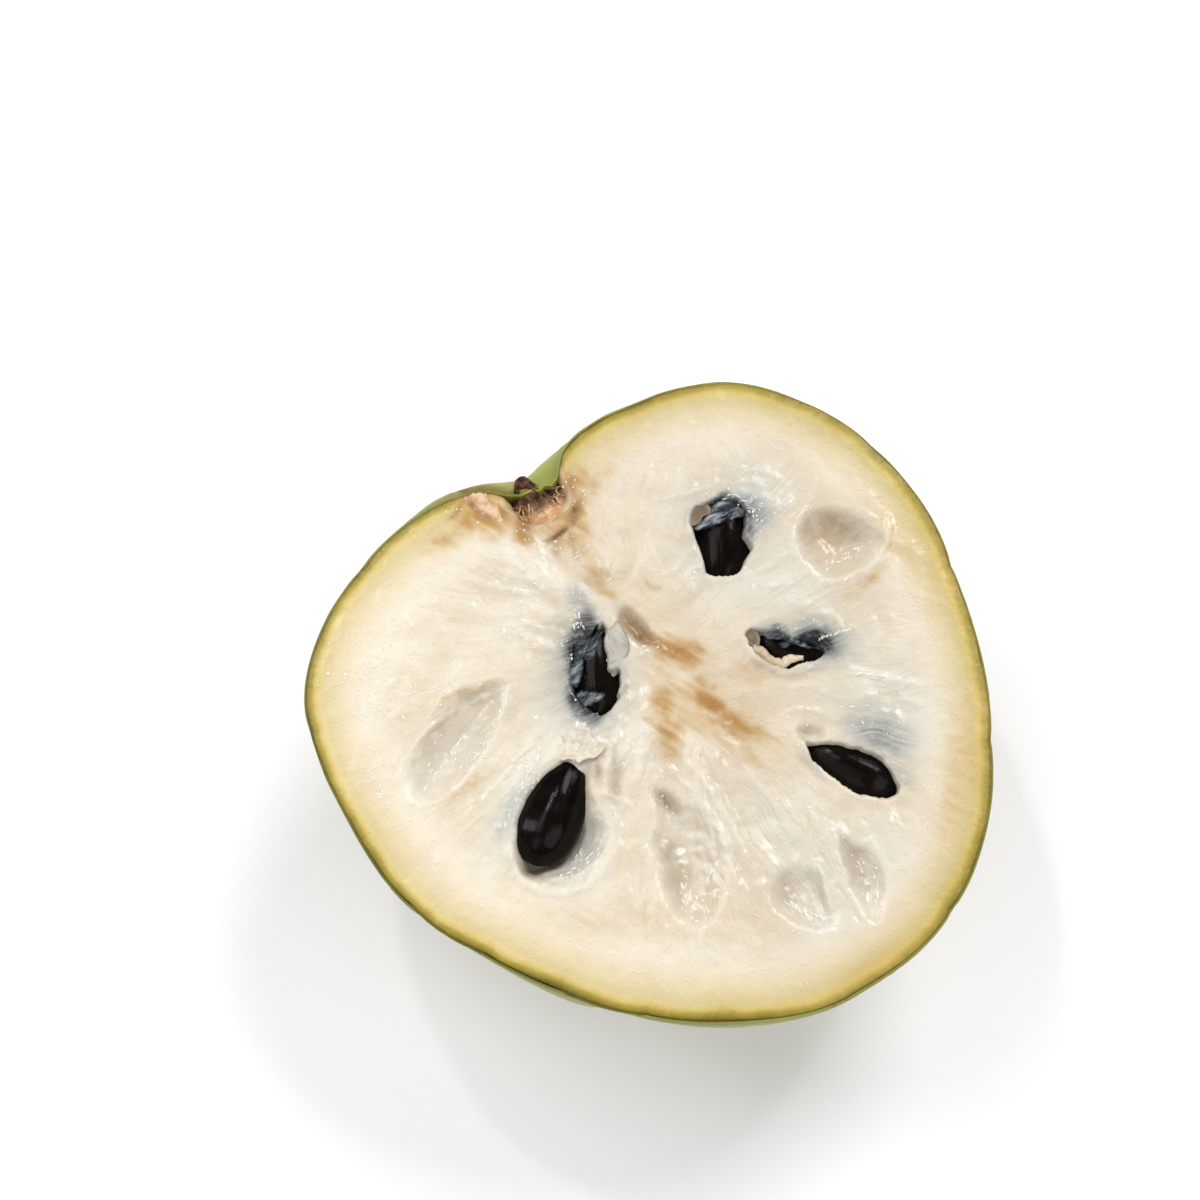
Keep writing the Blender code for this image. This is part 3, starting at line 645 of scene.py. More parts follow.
class Finish:
    """A material that is built up from expressions."""

    def __init__(self, name, **constants):
        self.material = bpy.data.materials.new(name)
        self.material.use_nodes = True
        self.tree = self.material.node_tree
        self.shader = self.tree.nodes["Principled BSDF"]
        for key, value in constants.items():
            self.shader.inputs[key.replace("_", " ").title().replace("Ior", "IOR")].default_value = value

    def node(self, kind, settings=None, inputs=None, out=0):
        made = self.tree.nodes.new(kind)
        for key, value in (settings or {}).items():
            if key == "stops":
                stops = made.color_ramp.elements
                for number, (place, shade) in enumerate(value):
                    stop = stops[number] if number < 2 else stops.new(place)
                    stop.position = place
                    stop.color = shade
            else:
                setattr(made, key, value)
        for key, value in (inputs or {}).items():
            if isinstance(value, Wire):
                self.tree.links.new(value.socket, made.inputs[key])
            else:
                made.inputs[key].default_value = value
        return Wire(self, made.outputs[out])

    def place(self):
        return self.node("ShaderNodeTexCoord", out=3)

    def read(self, name):
        return self.node("ShaderNodeAttribute", {"attribute_name": name}, out=2)

    def reads(self, names):
        return [self.read(name) for name in names.split()]

    def read_vector(self, name):
        return self.node("ShaderNodeAttribute", {"attribute_name": name}, out=1)

    def stretch(self, vector, scales):
        return self.node("ShaderNodeVectorMath", {"operation": "MULTIPLY"}, {0: vector, 1: scales})

    def noise(self, vector, scale, detail=2.0, roughness=0.5, distortion=0.0):
        values = {"Vector": vector, "Scale": scale, "Detail": detail, "Roughness": roughness,
                  "Distortion": distortion}
        return self.node("ShaderNodeTexNoise", None, values)

    def cells(self, vector, scale, feature="F1"):
        values = {"Vector": vector, "Scale": scale}
        return self.node("ShaderNodeTexVoronoi", {"feature": feature}, values)

    def rise(self, value, low, high):
        """0 below low, 1 above high, and a smooth rise between them."""
        settings = {"interpolation_type": "SMOOTHSTEP"}
        return self.node("ShaderNodeMapRange", settings, {0: value, 1: low, 2: high})

    def fade(self, value, low, high, first, second):
        """The first colour where the value is below low, the second where it is above high."""
        return self.mix(self.rise(value, low, high), colour(*first), colour(*second))

    def shades(self, value, *stops):
        """A colour that runs through the given stops as the value rises."""
        return self.node("ShaderNodeValToRGB", {"stops": stops}, {0: value})

    def mix(self, share, first, second, how="MIX"):
        settings = {"data_type": "RGBA", "blend_type": how, "clamp_factor": True}
        return self.node("ShaderNodeMix", settings, {0: share, 6: first, 7: second}, 2)

    def over(self, base, *layers):
        """The base with further colours over it, each by its own share."""
        for share, shade in layers:
            base = self.mix(share, base, colour(*shade))
        return base

    def bump(self, height, strength, distance):
        values = {"Strength": strength, "Distance": distance, "Height": height}
        return self.node("ShaderNodeBump", None, values)

    def done(self, **links):
        for key, wire in links.items():
            self.tree.links.new(wire.socket, self.shader.inputs[key.replace("_", " ").title()])
        return self.material


# The fruit's shape

def outline_radius(table, angle):
    ends = np.concatenate([table[1:2], table, table[-2:-1]])
    place = np.clip(angle / OUTLINE_STEP, 0, len(table) - 1 - 1e-9)
    start = place.astype(int)
    t = place - start
    a, b, c, d = (ends[start + k] for k in range(4))
    bend = (2 * a - 5 * b + 4 * c - d) * t**2 + (3 * (b - c) + d - a) * t**3
    return 0.5 * (2 * b + (c - a) * t + bend)


def underside_radius(angle):
    along, down = np.cos(angle), np.sin(angle)
    a = (along / UNDERSIDE_HALF_LENGTH) ** 2 + (down / UNDERSIDE_DEPTH) ** 2
    b = -2 * along * UNDERSIDE_MIDDLE / UNDERSIDE_HALF_LENGTH**2
    c = (UNDERSIDE_MIDDLE / UNDERSIDE_HALF_LENGTH) ** 2 - 1
    return (-b + np.sqrt(b * b - 4 * a * c)) / (2 * a)


def shoulder_pull(ways):
    """How far the cut edge beside the stem lies inside the skin's bulge below it."""
    x, y, z = ways.T
    angle = np.degrees(np.arctan2(x, y))
    down = -z * MEAN_RADIUS
    pull = np.interp(angle, PULL_ANGLES, PULLS, 0, 0)
    bulge = np.interp(angle, BULGE_ANGLES, BULGES, 0, 0) * ramp(down, 0.2, 3.0) * (1 - ramp(down, 7.0, 16.0))
    return pull * (1 - ramp(down, 0.0, 5.0)) - bulge


def fruit_radius(ways):
    x, y, z = ways.T
    angle = np.arccos(np.clip(y, -1, 1))
    across = np.hypot(x, z) + 1e-9
    side = np.where(x > 0, outline_radius(OUTLINE_RIGHT, angle), outline_radius(OUTLINE_LEFT, angle))
    share = (x / across) ** 2
    radius = side * share + underside_radius(angle) * (1 - share)
    flank = 2 * np.maximum(-z, 0) * np.sqrt(1 - z**2)
    return radius * (1 - TAPER * flank) - DIMPLE_DEPTH * np.exp(-angle / DIMPLE_ANGLE)


def scale_places():
    draw = np.random.default_rng(SCALE_DRAW)
    number = np.arange(SCALE_COUNT)
    angle = np.arccos(1 - 2 * (number + 0.5) / SCALE_COUNT)
    turn = number * SCALE_TURN
    angle = angle + draw.normal(0, SCALE_SCATTER, SCALE_COUNT)
    turn = turn + draw.normal(0, SCALE_SCATTER, SCALE_COUNT) / np.sin(angle)
    return angle, turn


def scale_falls(ways):
    """The three lowest falls from a scale's top at each way, and the nearest scale's number."""
    falls = [np.full(len(ways), 9.0) for _ in range(3)]
    nearest = np.zeros(len(ways), int)
    for number, (angle, turn) in enumerate(zip(*scale_places())):
        sa, ca = math.sin(angle), math.cos(angle)
        st, ct = math.sin(turn), math.cos(turn)
        middle = np.array([sa * ct, ca, sa * st])
        to_blossom = np.array([ca * ct, -sa, ca * st])
        around = np.array([-st, 0, ct])
        away = (ways - middle) * MEAN_RADIUS
        s = away @ around / SCALE_HALF_WIDTH
        t = away @ to_blossom / SCALE_HALF_LENGTH
        fall = np.sqrt(s * s + t * t) + SCALE_OVERLAP * t
        fall = np.where(ways @ middle > 0.5, fall, 9.0)
        nearest = np.where(fall < falls[0], number, nearest)
        for place in range(3):
            low = np.minimum(falls[place], fall)
            fall = np.maximum(falls[place], fall)
            falls[place] = low
    return falls, nearest


def scale_relief(ways, falls):
    lowest, second = falls[0], falls[1]
    boss = SCALE_RELIEF * np.minimum(lowest, 1.2) ** 2
    seam = SEAM_DEPTH * np.exp(-(((second - lowest) / SEAM_WIDTH) ** 2))
    from_end = np.arcsin(np.clip(np.hypot(ways[:, 0], ways[:, 2]), 0, 1))
    below = np.clip(-ways[:, 2] / CUT_FADE, 0, 1)
    near_cut = CUT_RELIEF + (1 - CUT_RELIEF) * below**2 * (3 - 2 * below)
    return (boss + seam) * np.minimum(from_end / PLAIN_ENDS, 1) * near_cut


def cut_radius(angle):
    """The radius of the cut edge, outside the skin, at an angle from the stem to the right."""
    ways = np.column_stack([np.sin(angle), np.cos(angle), np.full(len(angle), AT_CUT)])
    falls, _ = scale_falls(ways)
    return fruit_radius(ways) - scale_relief(ways, falls) - shoulder_pull(ways)


# The rind

def rind():
    """The scaly skin with a well on top that holds the flesh."""
    obj = ball("scaly_rind", RIND_SEGMENTS, RIND_RINGS, RIND_CUTS, halved=True)
    ways = points_of(obj)
    falls, nearest = scale_falls(ways)
    relief = scale_relief(ways, falls)
    x, y, z = ways.T
    pores = 0.05 * rough_hills(x * 40 + z * 22, y * 40 - z * 18, 31)
    radius = fruit_radius(ways) - relief - shoulder_pull(ways) + pores * ramp(-z, 0.0, 0.05)
    points = ways * radius[:, None]
    points[:, 2] = np.maximum(points[:, 2], -CUT_HEIGHT)
    set_points(obj, to_place(points))
    tones = np.random.default_rng(TONE_DRAW).uniform(0, 1, SCALE_COUNT)
    keep(obj, "seam", falls[1] - falls[0])
    keep(obj, "junction", falls[2] - falls[0])
    keep(obj, "boss", falls[0])
    keep(obj, "tone", tones[nearest])
    keep(obj, "cut", (z > AT_CUT).astype(float))
    keep(obj, "upper", 1 - ramp(-z * MEAN_RADIUS, 0.6, 4.5))
    extend_rim(obj, inwards)
    extend_rim(obj, downwards(WELL_TAPER, -WELL_DEPTH))
    close_rim(obj)
    bpy.ops.object.shade_smooth_by_angle(angle=math.radians(50))
    return obj


def rind_finish():
    make = Finish("green_scales", roughness=0.45, specular_ior_level=0.4, subsurface_weight=0.08,
                  subsurface_scale=0.002)
    place = make.place()
    seam, junction, boss, tone, cut, upper = make.reads("seam junction boss tone cut upper")
    broad = make.noise(place, 60.0, 3.0)
    mottle = make.noise(place, 420.0, 4.0, 0.65)
    fine = make.noise(place, 1500.0, 3.0, 0.7)
    net = make.cells(place, 1300.0, "DISTANCE_TO_EDGE")
    base = make.fade(broad, 0.35, 0.68, (158, 168, 78), (128, 142, 46))
    base = make.over(
        base, (tone * 0.55, (148, 164, 88)),
        (make.rise(mottle, 0.42, 0.72) * 0.45, (174, 184, 100)),
        ((1 - make.rise(net, 0.02, 0.16)) * 0.16, (100, 116, 38)))
    edge = 1 - make.rise(seam, 0.02, 0.34)
    base = make.mix(edge * make.rise(broad, 0.25, 0.6) * 0.75, base, colour(150, 144, 36))
    stain = (1 - make.rise(junction, 0.04, 0.42)) * make.rise(mottle + broad, 0.75, 1.15)
    base = make.mix(stain * 0.85, base, colour(112, 80, 30))
    line = (1 - make.rise(seam + (mottle - 0.5) * 0.10, 0.0, 0.075))
    patchy = make.rise(make.noise(place, 75.0, 2.0), 0.40, 0.58)
    base = make.mix(line * (0.35 + patchy * 0.6), base, colour(84, 58, 26))
    bright = make.rise(seam, 0.05, 0.09) * (1 - make.rise(seam, 0.10, 0.16))
    base = make.mix(bright * 0.35, base, colour(188, 188, 112))
    specks = (1 - make.rise(make.cells(place, 210.0), 0.05, 0.13)) * make.rise(broad, 0.5, 0.62)
    base = make.over(
        base, (specks * 0.8, (96, 66, 30)),
        (make.rise(boss, 0.9, 1.5) * 0.25, (108, 110, 32)),
        (upper * (0.50 + broad * 0.45), (114, 106, 28)),
        (cut * 0.9, (112, 104, 26)))
    roughness = 0.36 + mottle * 0.22 + line * 0.2
    height = fine * 0.25 + mottle * 0.5 - net * 0.4 - line * 0.8
    return make.done(base_color=base, roughness=roughness, normal=make.bump(height, 0.5, 0.0003))


# The flesh

def fibre_places(x, y):
    """Two numbers that follow the fibres, which fan out of the core: across them and along them."""
    middle, half = (CORE_TOP + CORE_END) / 2, (CORE_END - CORE_TOP) / 2
    reach = np.hypot(*half)
    to_end = half / reach
    along = ((x - middle[0]) * to_end[0] + (y - middle[1]) * to_end[1]) / reach
    across = ((y - middle[1]) * to_end[0] - (x - middle[0]) * to_end[1]) / reach
    fan = np.arccosh(along + 1j * across + 1e-6)
    return fan.imag, fan.real


def lay_flesh(x, y, rim):
    """The height of the cut face at each place, and what its material needs to know."""
    wobble_x = x + 0.22 * rough_hills(x / 1.9, y / 1.9, 41)
    wobble_y = y + 0.22 * rough_hills(x / 1.9 + 9, y / 1.9, 44)
    stain_x = wobble_x + 0.8 * rough_hills(x / 2.6, y / 2.6, 83)
    stain_y = wobble_y + 0.8 * rough_hills(x / 2.6 + 7, y / 2.6, 86)
    bent_x = x + 0.9 * random_hills(x / 5, y / 5, 47)
    bent_y = y + 0.9 * random_hills(x / 5 + 4, y / 5, 48)
    across, along = fibre_places(bent_x, bent_y)

    def fibres(count, rate, seed):
        return random_hills(across / (2 * math.pi) * count, along * rate, seed, count)

    inner = ramp(rim, 6.0, 15.0) * ramp(along, 0.10, 0.55)
    thread, ropes, sheets = fibres(190, 3.2, 51), fibres(76, 2.2, 52), fibres(34, 1.7, 59)
    strands = soft_patches(x, y, STRANDS)
    height = 0.12 * rough_hills(x / 8, y / 8, 53) + 0.05 * rough_hills(x / 1.5, y / 1.5, 56)
    patchy = ramp(rough_hills(x / 6 + 3, y / 6, 62), -0.3, 0.8)
    height = height + inner * (0.03 * thread * patchy + 0.13 * ropes + 0.20 * sheets)
    height = height + inner * strands * (0.05 * thread + 0.16 * ropes + 0.22 * sheets)
    height = height + inner * 0.13 * rough_hills(x / 3.2 + 5, y / 3.2, 65)
    height = height - 0.10 * np.exp(-rim / 0.5) - 0.15 * np.exp(-rim / 2.5)
    fold = np.zeros(x.shape)
    for rise, width, line in FOLDS:
        shape = np.exp(-((line_distance(wobble_x, wobble_y, line) / width) ** 2))
        shape = shape * (0.55 + 0.45 * random_hills(x / 1.1, y / 1.1, 63))
        height = height + rise * shape
        fold = np.maximum(fold, shape * (rise > 0))
    lumps = soft_patches(x, y, CRUMBS)
    height = height + lumps * (0.45 + 0.35 * rough_hills(x / 1.1, y / 1.1, 58, 2))
    pocket, wall, scar = np.zeros((3, *x.shape))
    for name, (depth, reach, lip, outline) in HOLLOWS.items():
        inside = inside_distance(wobble_x, wobble_y, smooth_loop(outline))
        if name == "scar":
            share = ramp(inside, -0.6, reach)
            hollow = share
            scar = np.maximum(scar, ramp(inside, -3.5, 1.0))
        elif name == "over_seed_lower_left":
            beside = 0.63 * (x + 22.6) - 0.78 * (y + 5.1)
            share = np.clip(inside / (2.4 + reach * ramp(beside, -1.0, 4.5)), 0, 1)
            hollow = share * share * (2.4 - 1.4 * share)
        elif name in BEDS:
            share = np.clip(inside / reach, 0, 1)
            hollow = 1 - (1 - share) ** 2
        else:
            share = np.clip(0.5 * (inside + np.sqrt(inside**2 + 0.16)) / reach, 0, 1)
            hollow = 1 - (1 - share) ** 2
        height = height * (1 - 0.5 * share) - depth * hollow
        height = height + lip * np.exp(-(((inside + 0.7) / 0.6) ** 2))
        height = height + ramp(inside, 0.2, 1.4) * (0.13 * rough_hills(x / 1.2, y / 1.2, 68, 2))
        if name != "cleft":
            pocket = np.maximum(pocket, ramp(inside, -0.3, 2.6) * (0.35 if name in BEDS else 1.0))
            wall = np.maximum(wall, np.exp(-((inside / 0.7) ** 2)))
    facts = {
        "rim": rim,
        "pocket": pocket,
        "wall": wall,
        "scar": scar,
        "veil": soft_patches(wobble_x, wobble_y, VEILS),
        "cool": soft_patches(wobble_x, wobble_y, COOL, 0.9),
        "dusk": soft_patches(wobble_x, wobble_y, HOLLOW_SHADE_AND_STAIN),
        "ochre": soft_patches(stain_x, stain_y, OCHRE, 0.85),
        "brown": soft_patches(wobble_x, wobble_y, BROWN),
        "white": np.maximum(strands, lumps),
        "sheet": 0.5 + 0.5 * sheets,
        "fold": fold,
        "inner": inner,
        "left": ramp(-x, -12.0, 40.0),
        "streak": 0.5 + 0.4 * rough_hills(0.88 * x + 0.47 * y, (0.47 * x - 0.88 * y) / 5.5, 69),
        "fibre": np.column_stack([30 * np.cos(across), 30 * np.sin(across), 2.2 * along]),
    }
    return height, facts


def flesh():
    """The cut face: one fine net, shaped to the heart outline and laid over hollows and fibres."""
    bpy.ops.mesh.primitive_grid_add(x_subdivisions=FLESH_CELLS, y_subdivisions=FLESH_CELLS, size=2)
    obj = named("moist_flesh")
    a, b = points_of(obj)[:, :2].T
    wide = np.abs(a) > np.abs(b)
    reach = np.where(wide, np.abs(a), np.abs(b))
    with np.errstate(divide="ignore", invalid="ignore"):
        turn = np.where(wide, b / a * math.pi / 4, math.pi / 2 - a / b * math.pi / 4)
    turn = np.where(reach < 1e-9, 0, turn)
    flip = np.where(wide, a < 0, b < 0)
    turn = turn + np.where(flip, math.pi, 0)
    out_x, out_y = np.cos(turn), np.sin(turn)
    angle = np.arctan2(out_x, out_y)
    edge = cut_radius(angle) - RIND_THICKNESS - FLESH_GAP
    x, y = out_x * reach * edge, out_y * reach * edge
    height, facts = lay_flesh(x, y, (1 - reach) * edge)
    put(obj, x, y, height)
    for name, values in facts.items():
        keep(obj, name, values)
    extend_rim(obj, downwards(PLUG_TAPER, PLUG_GAP - WELL_DEPTH))
    close_rim(obj)
    bpy.ops.object.shade_smooth()
    return obj


def flesh_finish():
    make = Finish("cream_flesh", roughness=0.35, specular_ior_level=0.4, subsurface_weight=0.3,
                  subsurface_scale=0.004, coat_roughness=0.07)
    make.shader.inputs["Subsurface Radius"].default_value = (1.0, 0.75, 0.5)
    place = make.place()
    rim, pocket, wall, veil, cool, white = make.reads("rim pocket wall veil cool white")
    ochre, brown, scar, dusk, left = make.reads("ochre brown scar dusk left")
    sheet, inner, fold, streak = make.reads("sheet inner fold streak")
    fibre = make.read_vector("fibre")
    broad = make.noise(place, 90.0, 3.0, 0.55)
    grain = make.noise(place, 900.0, 3.0, 0.6)
    cloud = make.noise(place, 260.0, 3.0, 0.6, 0.4)
    threads = make.noise(fibre, 1.0, 3.0, 0.6, 0.3)
    strings = make.noise(make.stretch(fibre, (3.1, 3.1, 1.7)), 1.0, 2.0, 0.6)
    # cream flesh with paler and more see-through sheets of fibre
    base = make.fade(broad, 0.35, 0.65, (242, 231, 211), (236, 221, 195))
    base = make.over(
        base, (make.rise(cloud, 0.45, 0.75) * 0.5, (246, 238, 223)),
        ((1 - make.rise(sheet, 0.15, 0.65)) * inner * 0.5, (222, 204, 174)),
        ((1 - make.rise(threads, 0.30, 0.46)) * inner * 0.28, (220, 200, 166)),
        (make.rise(strings, 0.55, 0.72) * inner * 0.3, (249, 245, 236)),
        (fold * 0.55, (248, 244, 236)),
        (cool * (0.70 + cloud * 0.4), (226, 228, 222)),
        (pocket * (0.10 + cloud * 0.35), (212, 202, 187)),
        (white * make.rise(strings, 0.35, 0.6) * 0.8, (249, 245, 236)))
    # the outer flesh turns from cream through straw to olive at the skin
    band = rim + (broad - 0.5) * 1.6 + (cloud - 0.5) * 0.7
    band = band + make.rise(band, 0.2, 2.4) * left * 0.9
    rind_shade = make.shades(band / 14.0, (0.0, colour(98, 88, 14)), (0.03, colour(136, 118, 28)),
                             (0.075, colour(160, 142, 54)), (0.13, colour(198, 176, 98)),
                             (0.21, colour(216, 195, 138)), (0.36, colour(229, 210, 169)),
                             (0.60, colour(236, 221, 192)), (1.0, colour(240, 228, 206)))
    base = make.mix(1 - make.rise(band, 5.0, 12.0), base, rind_shade)
    # stains; the grey-brown patches in the hollows and clefts are partly stain and partly painted shade
    streaks = streak * 0.75 + cloud * 0.25
    base = make.over(
        base, (make.rise(ochre * (0.5 + streaks), 0.0, 0.85) * 0.9, (212, 176, 110)),
        (make.rise(ochre * (0.5 + streaks), 0.25, 1.25) * 0.85, (172, 114, 30)),
        (dusk * (0.50 + cloud * 0.5), (168, 146, 118)),
        (make.rise(dusk * cloud, 0.34, 0.62) * 0.6, (118, 94, 70)),
        (brown * (0.4 + cloud * 0.8), (140, 92, 38)),
        (make.rise(brown * cloud, 0.42, 0.6) * 0.8, (84, 46, 18)),
        (scar * make.rise(cloud, 0.3, 0.7) * 0.4, (186, 132, 84)),
        (wall * (1 - brown) * cloud * 0.35, (250, 246, 236)))
    # painted shade: a slightly greyer tone away from the left side, where less light falls, and a little
    # more grey in the inner flesh
    tone = make.mix(left, colour(229, 232, 236), colour(238, 240, 241))
    tone = make.mix(inner * (1 - left * 0.7), tone, colour(221, 219, 216))
    base = make.mix(make.rise(rim, 1.2, 3.0), base, make.mix(1.0, base, tone, "MULTIPLY"))
    # the dark coat of a seed that shows through thin flesh
    shade = veil + ((cloud - 0.5) * 0.9 + (strings - 0.5) * 0.9 + (threads - 0.5) * 0.5) * veil
    base = make.over(
        base, (make.rise(shade, 0.0, 0.55) * 0.75, (134, 142, 144)),
        (make.rise(shade, 0.30, 0.85), (20, 22, 25)))
    dots = (1 - make.rise(make.cells(place, 230.0), 0.02, 0.055)) * make.rise(broad, 0.5, 0.7)
    base = make.mix(dots * 0.35, base, colour(180, 130, 70))
    wet = make.rise(make.noise(place, 210.0, 2.0), 0.35, 0.75)
    roughness = 0.42 - wet * 0.14 - pocket * 0.18 - shade * 0.16 + scar * 0.15
    height = grain * 0.30 + cloud * 0.30 + threads * inner * 0.4 + strings * inner * 0.15
    blisters = make.rise(make.noise(place, 1100.0, 2.0, 0.5), 0.56, 0.70)
    height = height + blisters * 0.22 * (1 - pocket * 0.7)
    normal = make.bump(height, 0.55, 0.0005)
    coat = (0.12 + wet * 0.30) * make.rise(rim, 0.8, 3.0) * (1 - brown * 0.9)
    return make.done(base_color=base, roughness=roughness, normal=normal, coat_weight=coat)


# The seeds

def seed(name, facts):
    """A flattened drop, narrow at one end, with soft ridges along it and a faint grain."""
    middle, turn, length, width, thickness, depth = facts
    obj = ball("glossy_" + name, 64, 48, 1)
    x, y, z = points_of(obj).T
    full = (1 - np.minimum(np.abs(y), 0.995) ** 2.5) ** 0.44 / np.sqrt(1 - np.minimum(np.abs(y), 0.995) ** 2)
    waist = (1 - 0.17 * y) * np.minimum(full, 1.12) * 0.97
    px, py, pz = x * waist * width / 2, y * length / 2, z * waist * thickness / 2
    round_it = np.arctan2(pz / thickness, px / width)
    middle_share = np.sqrt(np.maximum(1 - y * y, 0))
    number = sum(map(ord, name))
    ridges = 0.035 * np.cos(4 * round_it + 0.6) + 0.012 * np.cos(9 * round_it + number) * middle_share
    ridges = ridges + 0.010 * rough_hills(round_it * 2 + 9, y * 2.5 + 5, number % 50)
    ridges = ridges + 0.003 * random_hills(round_it * 14 + 60, y * 3 + 5, number % 40)
    px, pz = px * (1 + ridges), pz * (1 + ridges)
    keep(obj, "along", y)
    keep(obj, "round_it", round_it)
    px, py = turned(px, py, math.radians(turn - 90))
    put(obj, px + middle[0], py + middle[1], pz - depth)
    bpy.ops.object.shade_smooth()
    return obj


def seed_finish():
    make = Finish("black_seed_coat", roughness=0.2, specular_ior_level=0.10)
    place = make.place()
    along, round_it = make.reads("along round_it")
    cloud = make.noise(place, 300.0, 3.0)
    vector = make.node("ShaderNodeCombineXYZ", None, {0: round_it * 9.0, 1: along * 2.5})
    grain = make.noise(vector, 1.0, 3.0, 0.6)
    base = make.fade(cloud, 0.3, 0.7, (6, 4, 3), (18, 11, 7))
    base = make.over(base, (make.rise(grain, 0.5, 0.75) * 0.5, (27, 18, 12)))
    roughness = 0.07 + grain * 0.10 + cloud * 0.05
    height = grain * 0.6 + make.noise(place, 1400.0, 2.0) * 0.12
    return make.done(base_color=base, roughness=roughness, normal=make.bump(height, 0.35, 0.0003))


# Films, flaps and the stalk scar

def patch(name, cells, lay, thickness, ragged=0.0):
    """A thin sheet with the outline of this name; lay gives its height in millimetres."""
    bpy.ops.mesh.primitive_grid_add(x_subdivisions=cells, y_subdivisions=cells, size=2)
    obj = named(name)
    a, b = points_of(obj)[:, :2].T
    loop = smooth_loop(OUTLINES[name], 6)
    middle = loop.mean(0)
    ways = loop - middle
    angles = np.arctan2(ways[:, 1], ways[:, 0])
    order = np.argsort(angles)
    reach = np.maximum(np.abs(a), np.abs(b))
    turn = np.arctan2(b, a)
    radius = np.interp(turn, angles[order], np.hypot(*ways[order].T), period=2 * math.pi) * reach
    x, y = middle[0] + radius * np.cos(turn), middle[1] + radius * np.sin(turn)
    tear = ragged * rough_hills(x / 0.9 + 20, y / 0.9, 97) * reach**3
    keep(obj, "inside", (1 - reach))
    put(obj, x + tear, y + 0.8 * tear, lay(x, y, reach))
    thicken(obj, thickness)
    return obj


def film_finish():
    make = Finish("wet_film", roughness=0.15, specular_ior_level=0.6, coat_roughness=0.05)
    place = make.place()
    inside = make.read("inside")
    cloud = make.noise(make.stretch(place, (0.45, 1.3, 1.0)), 480.0, 4.0, 0.65, 0.6)
    milk = make.rise(cloud, 0.42, 0.74)
    base = make.mix(milk, colour(44, 54, 62), colour(180, 189, 195))
    alpha = (0.34 + milk * 0.5) * make.rise(inside + (cloud - 0.5) * 0.3, 0.0, 0.45)
    height = cloud * 0.6 + make.noise(place, 1500.0, 2.0) * 0.2
    return make.done(base_color=base, alpha=alpha, roughness=0.20 + cloud * 0.2,
                     normal=make.bump(height, 0.5, 0.0004))


def flap_finish():
    make = Finish("torn_flesh", roughness=0.4, specular_ior_level=0.4)
    place = make.place()
    cloud = make.noise(place, 420.0, 4.0, 0.6)
    grain = make.noise(place, 1600.0, 2.0)
    base = make.fade(cloud, 0.35, 0.65, (182, 162, 132), (208, 194, 172))
    base = make.over(base, (make.rise(cloud, 0.60, 0.75) * 0.4, (176, 146, 104)))
    return make.done(base_color=base, roughness=0.3 + cloud * 0.25,
                     normal=make.bump(cloud * 0.6 + grain * 0.3, 0.6, 0.0004))


def films():
    """The wet skins over the covered parts of three seeds."""
    made = []
    for name, high in FILMS.items():
        def lay(x, y, reach):
            folds = 0.30 * rough_hills(x / 2.6, y / 0.8, 61) + 0.08 * rough_hills(x / 1.2, y / 0.5, 64)
            return high + folds - 0.5 * (1 - reach) + 0.35 * ramp(reach, 0.8, 1.0)
        made.append(patch(name, 48, lay, 0.12, 0.3))
    return made


def lumps():
    """The pale wedge beside the middle seed, the torn lump left of the scar, and a frayed flap."""
    def lay_wedge(x, y, reach):
        tilt = 0.10 * (x + 2.0)
        return 0.10 - 0.9 * ramp(reach, 0.7, 1.0) + tilt + 0.16 * rough_hills(x / 1.4, y / 2.6, 91)

    def lay_torn(x, y, reach):
        return 0.45 - 0.9 * ramp(reach, 0.45, 1.0) + 0.34 * rough_hills(x / 1.2, y / 1.8, 93)

    def lay_flap(x, y, reach):
        lift = 0.75 * ramp(-y - x * 0.3, 2.4, 6.6)
        rough = 0.26 * rough_hills(x / 1.3, y / 1.3, 95)
        return 0.14 + lift - 0.7 * ramp(reach, 0.6, 1.0) * (1 - lift) + rough

    return (patch("pale_wedge", 44, lay_wedge, 0.3), patch("torn_lump", 50, lay_torn, 0.5, 0.35),
            patch("frayed_flap", 56, lay_flap, 0.4, 0.22))


def recesses():
    """The small brownish hollows at the ends of two seeds."""
    def lay(x, y, reach):
        return -0.75 + 0.25 * reach**4 + 0.06 * rough_hills(x, y, 99)

    return [patch(name, 24, lay, 0.2) for name in ("recess_top", "recess_right")]


def recess_finish():
    make = Finish("brown_recess", roughness=0.4, specular_ior_level=0.3)
    inside = make.read("inside")
    cloud = make.noise(make.place(), 420.0, 3.0)
    base = make.fade(cloud, 0.3, 0.7, (84, 71, 56), (112, 98, 80))
    base = make.mix(1 - make.rise(inside, 0.0, 0.5), base, colour(134, 120, 100))
    return make.done(base_color=base, roughness=0.3 + cloud * 0.2)


def wedge_finish():
    make = Finish("pale_membrane", roughness=0.3, specular_ior_level=0.4)
    place = make.place()
    cloud = make.noise(make.stretch(place, (1.0, 0.5, 1.0)), 420.0, 3.0, 0.55)
    base = make.fade(cloud, 0.35, 0.65, (146, 140, 128), (178, 172, 160))
    return make.done(base_color=base, roughness=0.22 + cloud * 0.2, normal=make.bump(cloud, 0.4, 0.0004))


def frayed_finish():
    make = Finish("frayed_flesh", roughness=0.35, specular_ior_level=0.4, coat_roughness=0.08)
    place = make.place()
    cloud = make.noise(place, 420.0, 3.0, 0.6)
    base = make.fade(cloud, 0.35, 0.65, (200, 189, 170), (214, 204, 187))
    return make.done(base_color=base, roughness=0.3 + cloud * 0.2, normal=make.bump(cloud, 0.5, 0.0004),
                     coat_weight=cloud * 0.3)


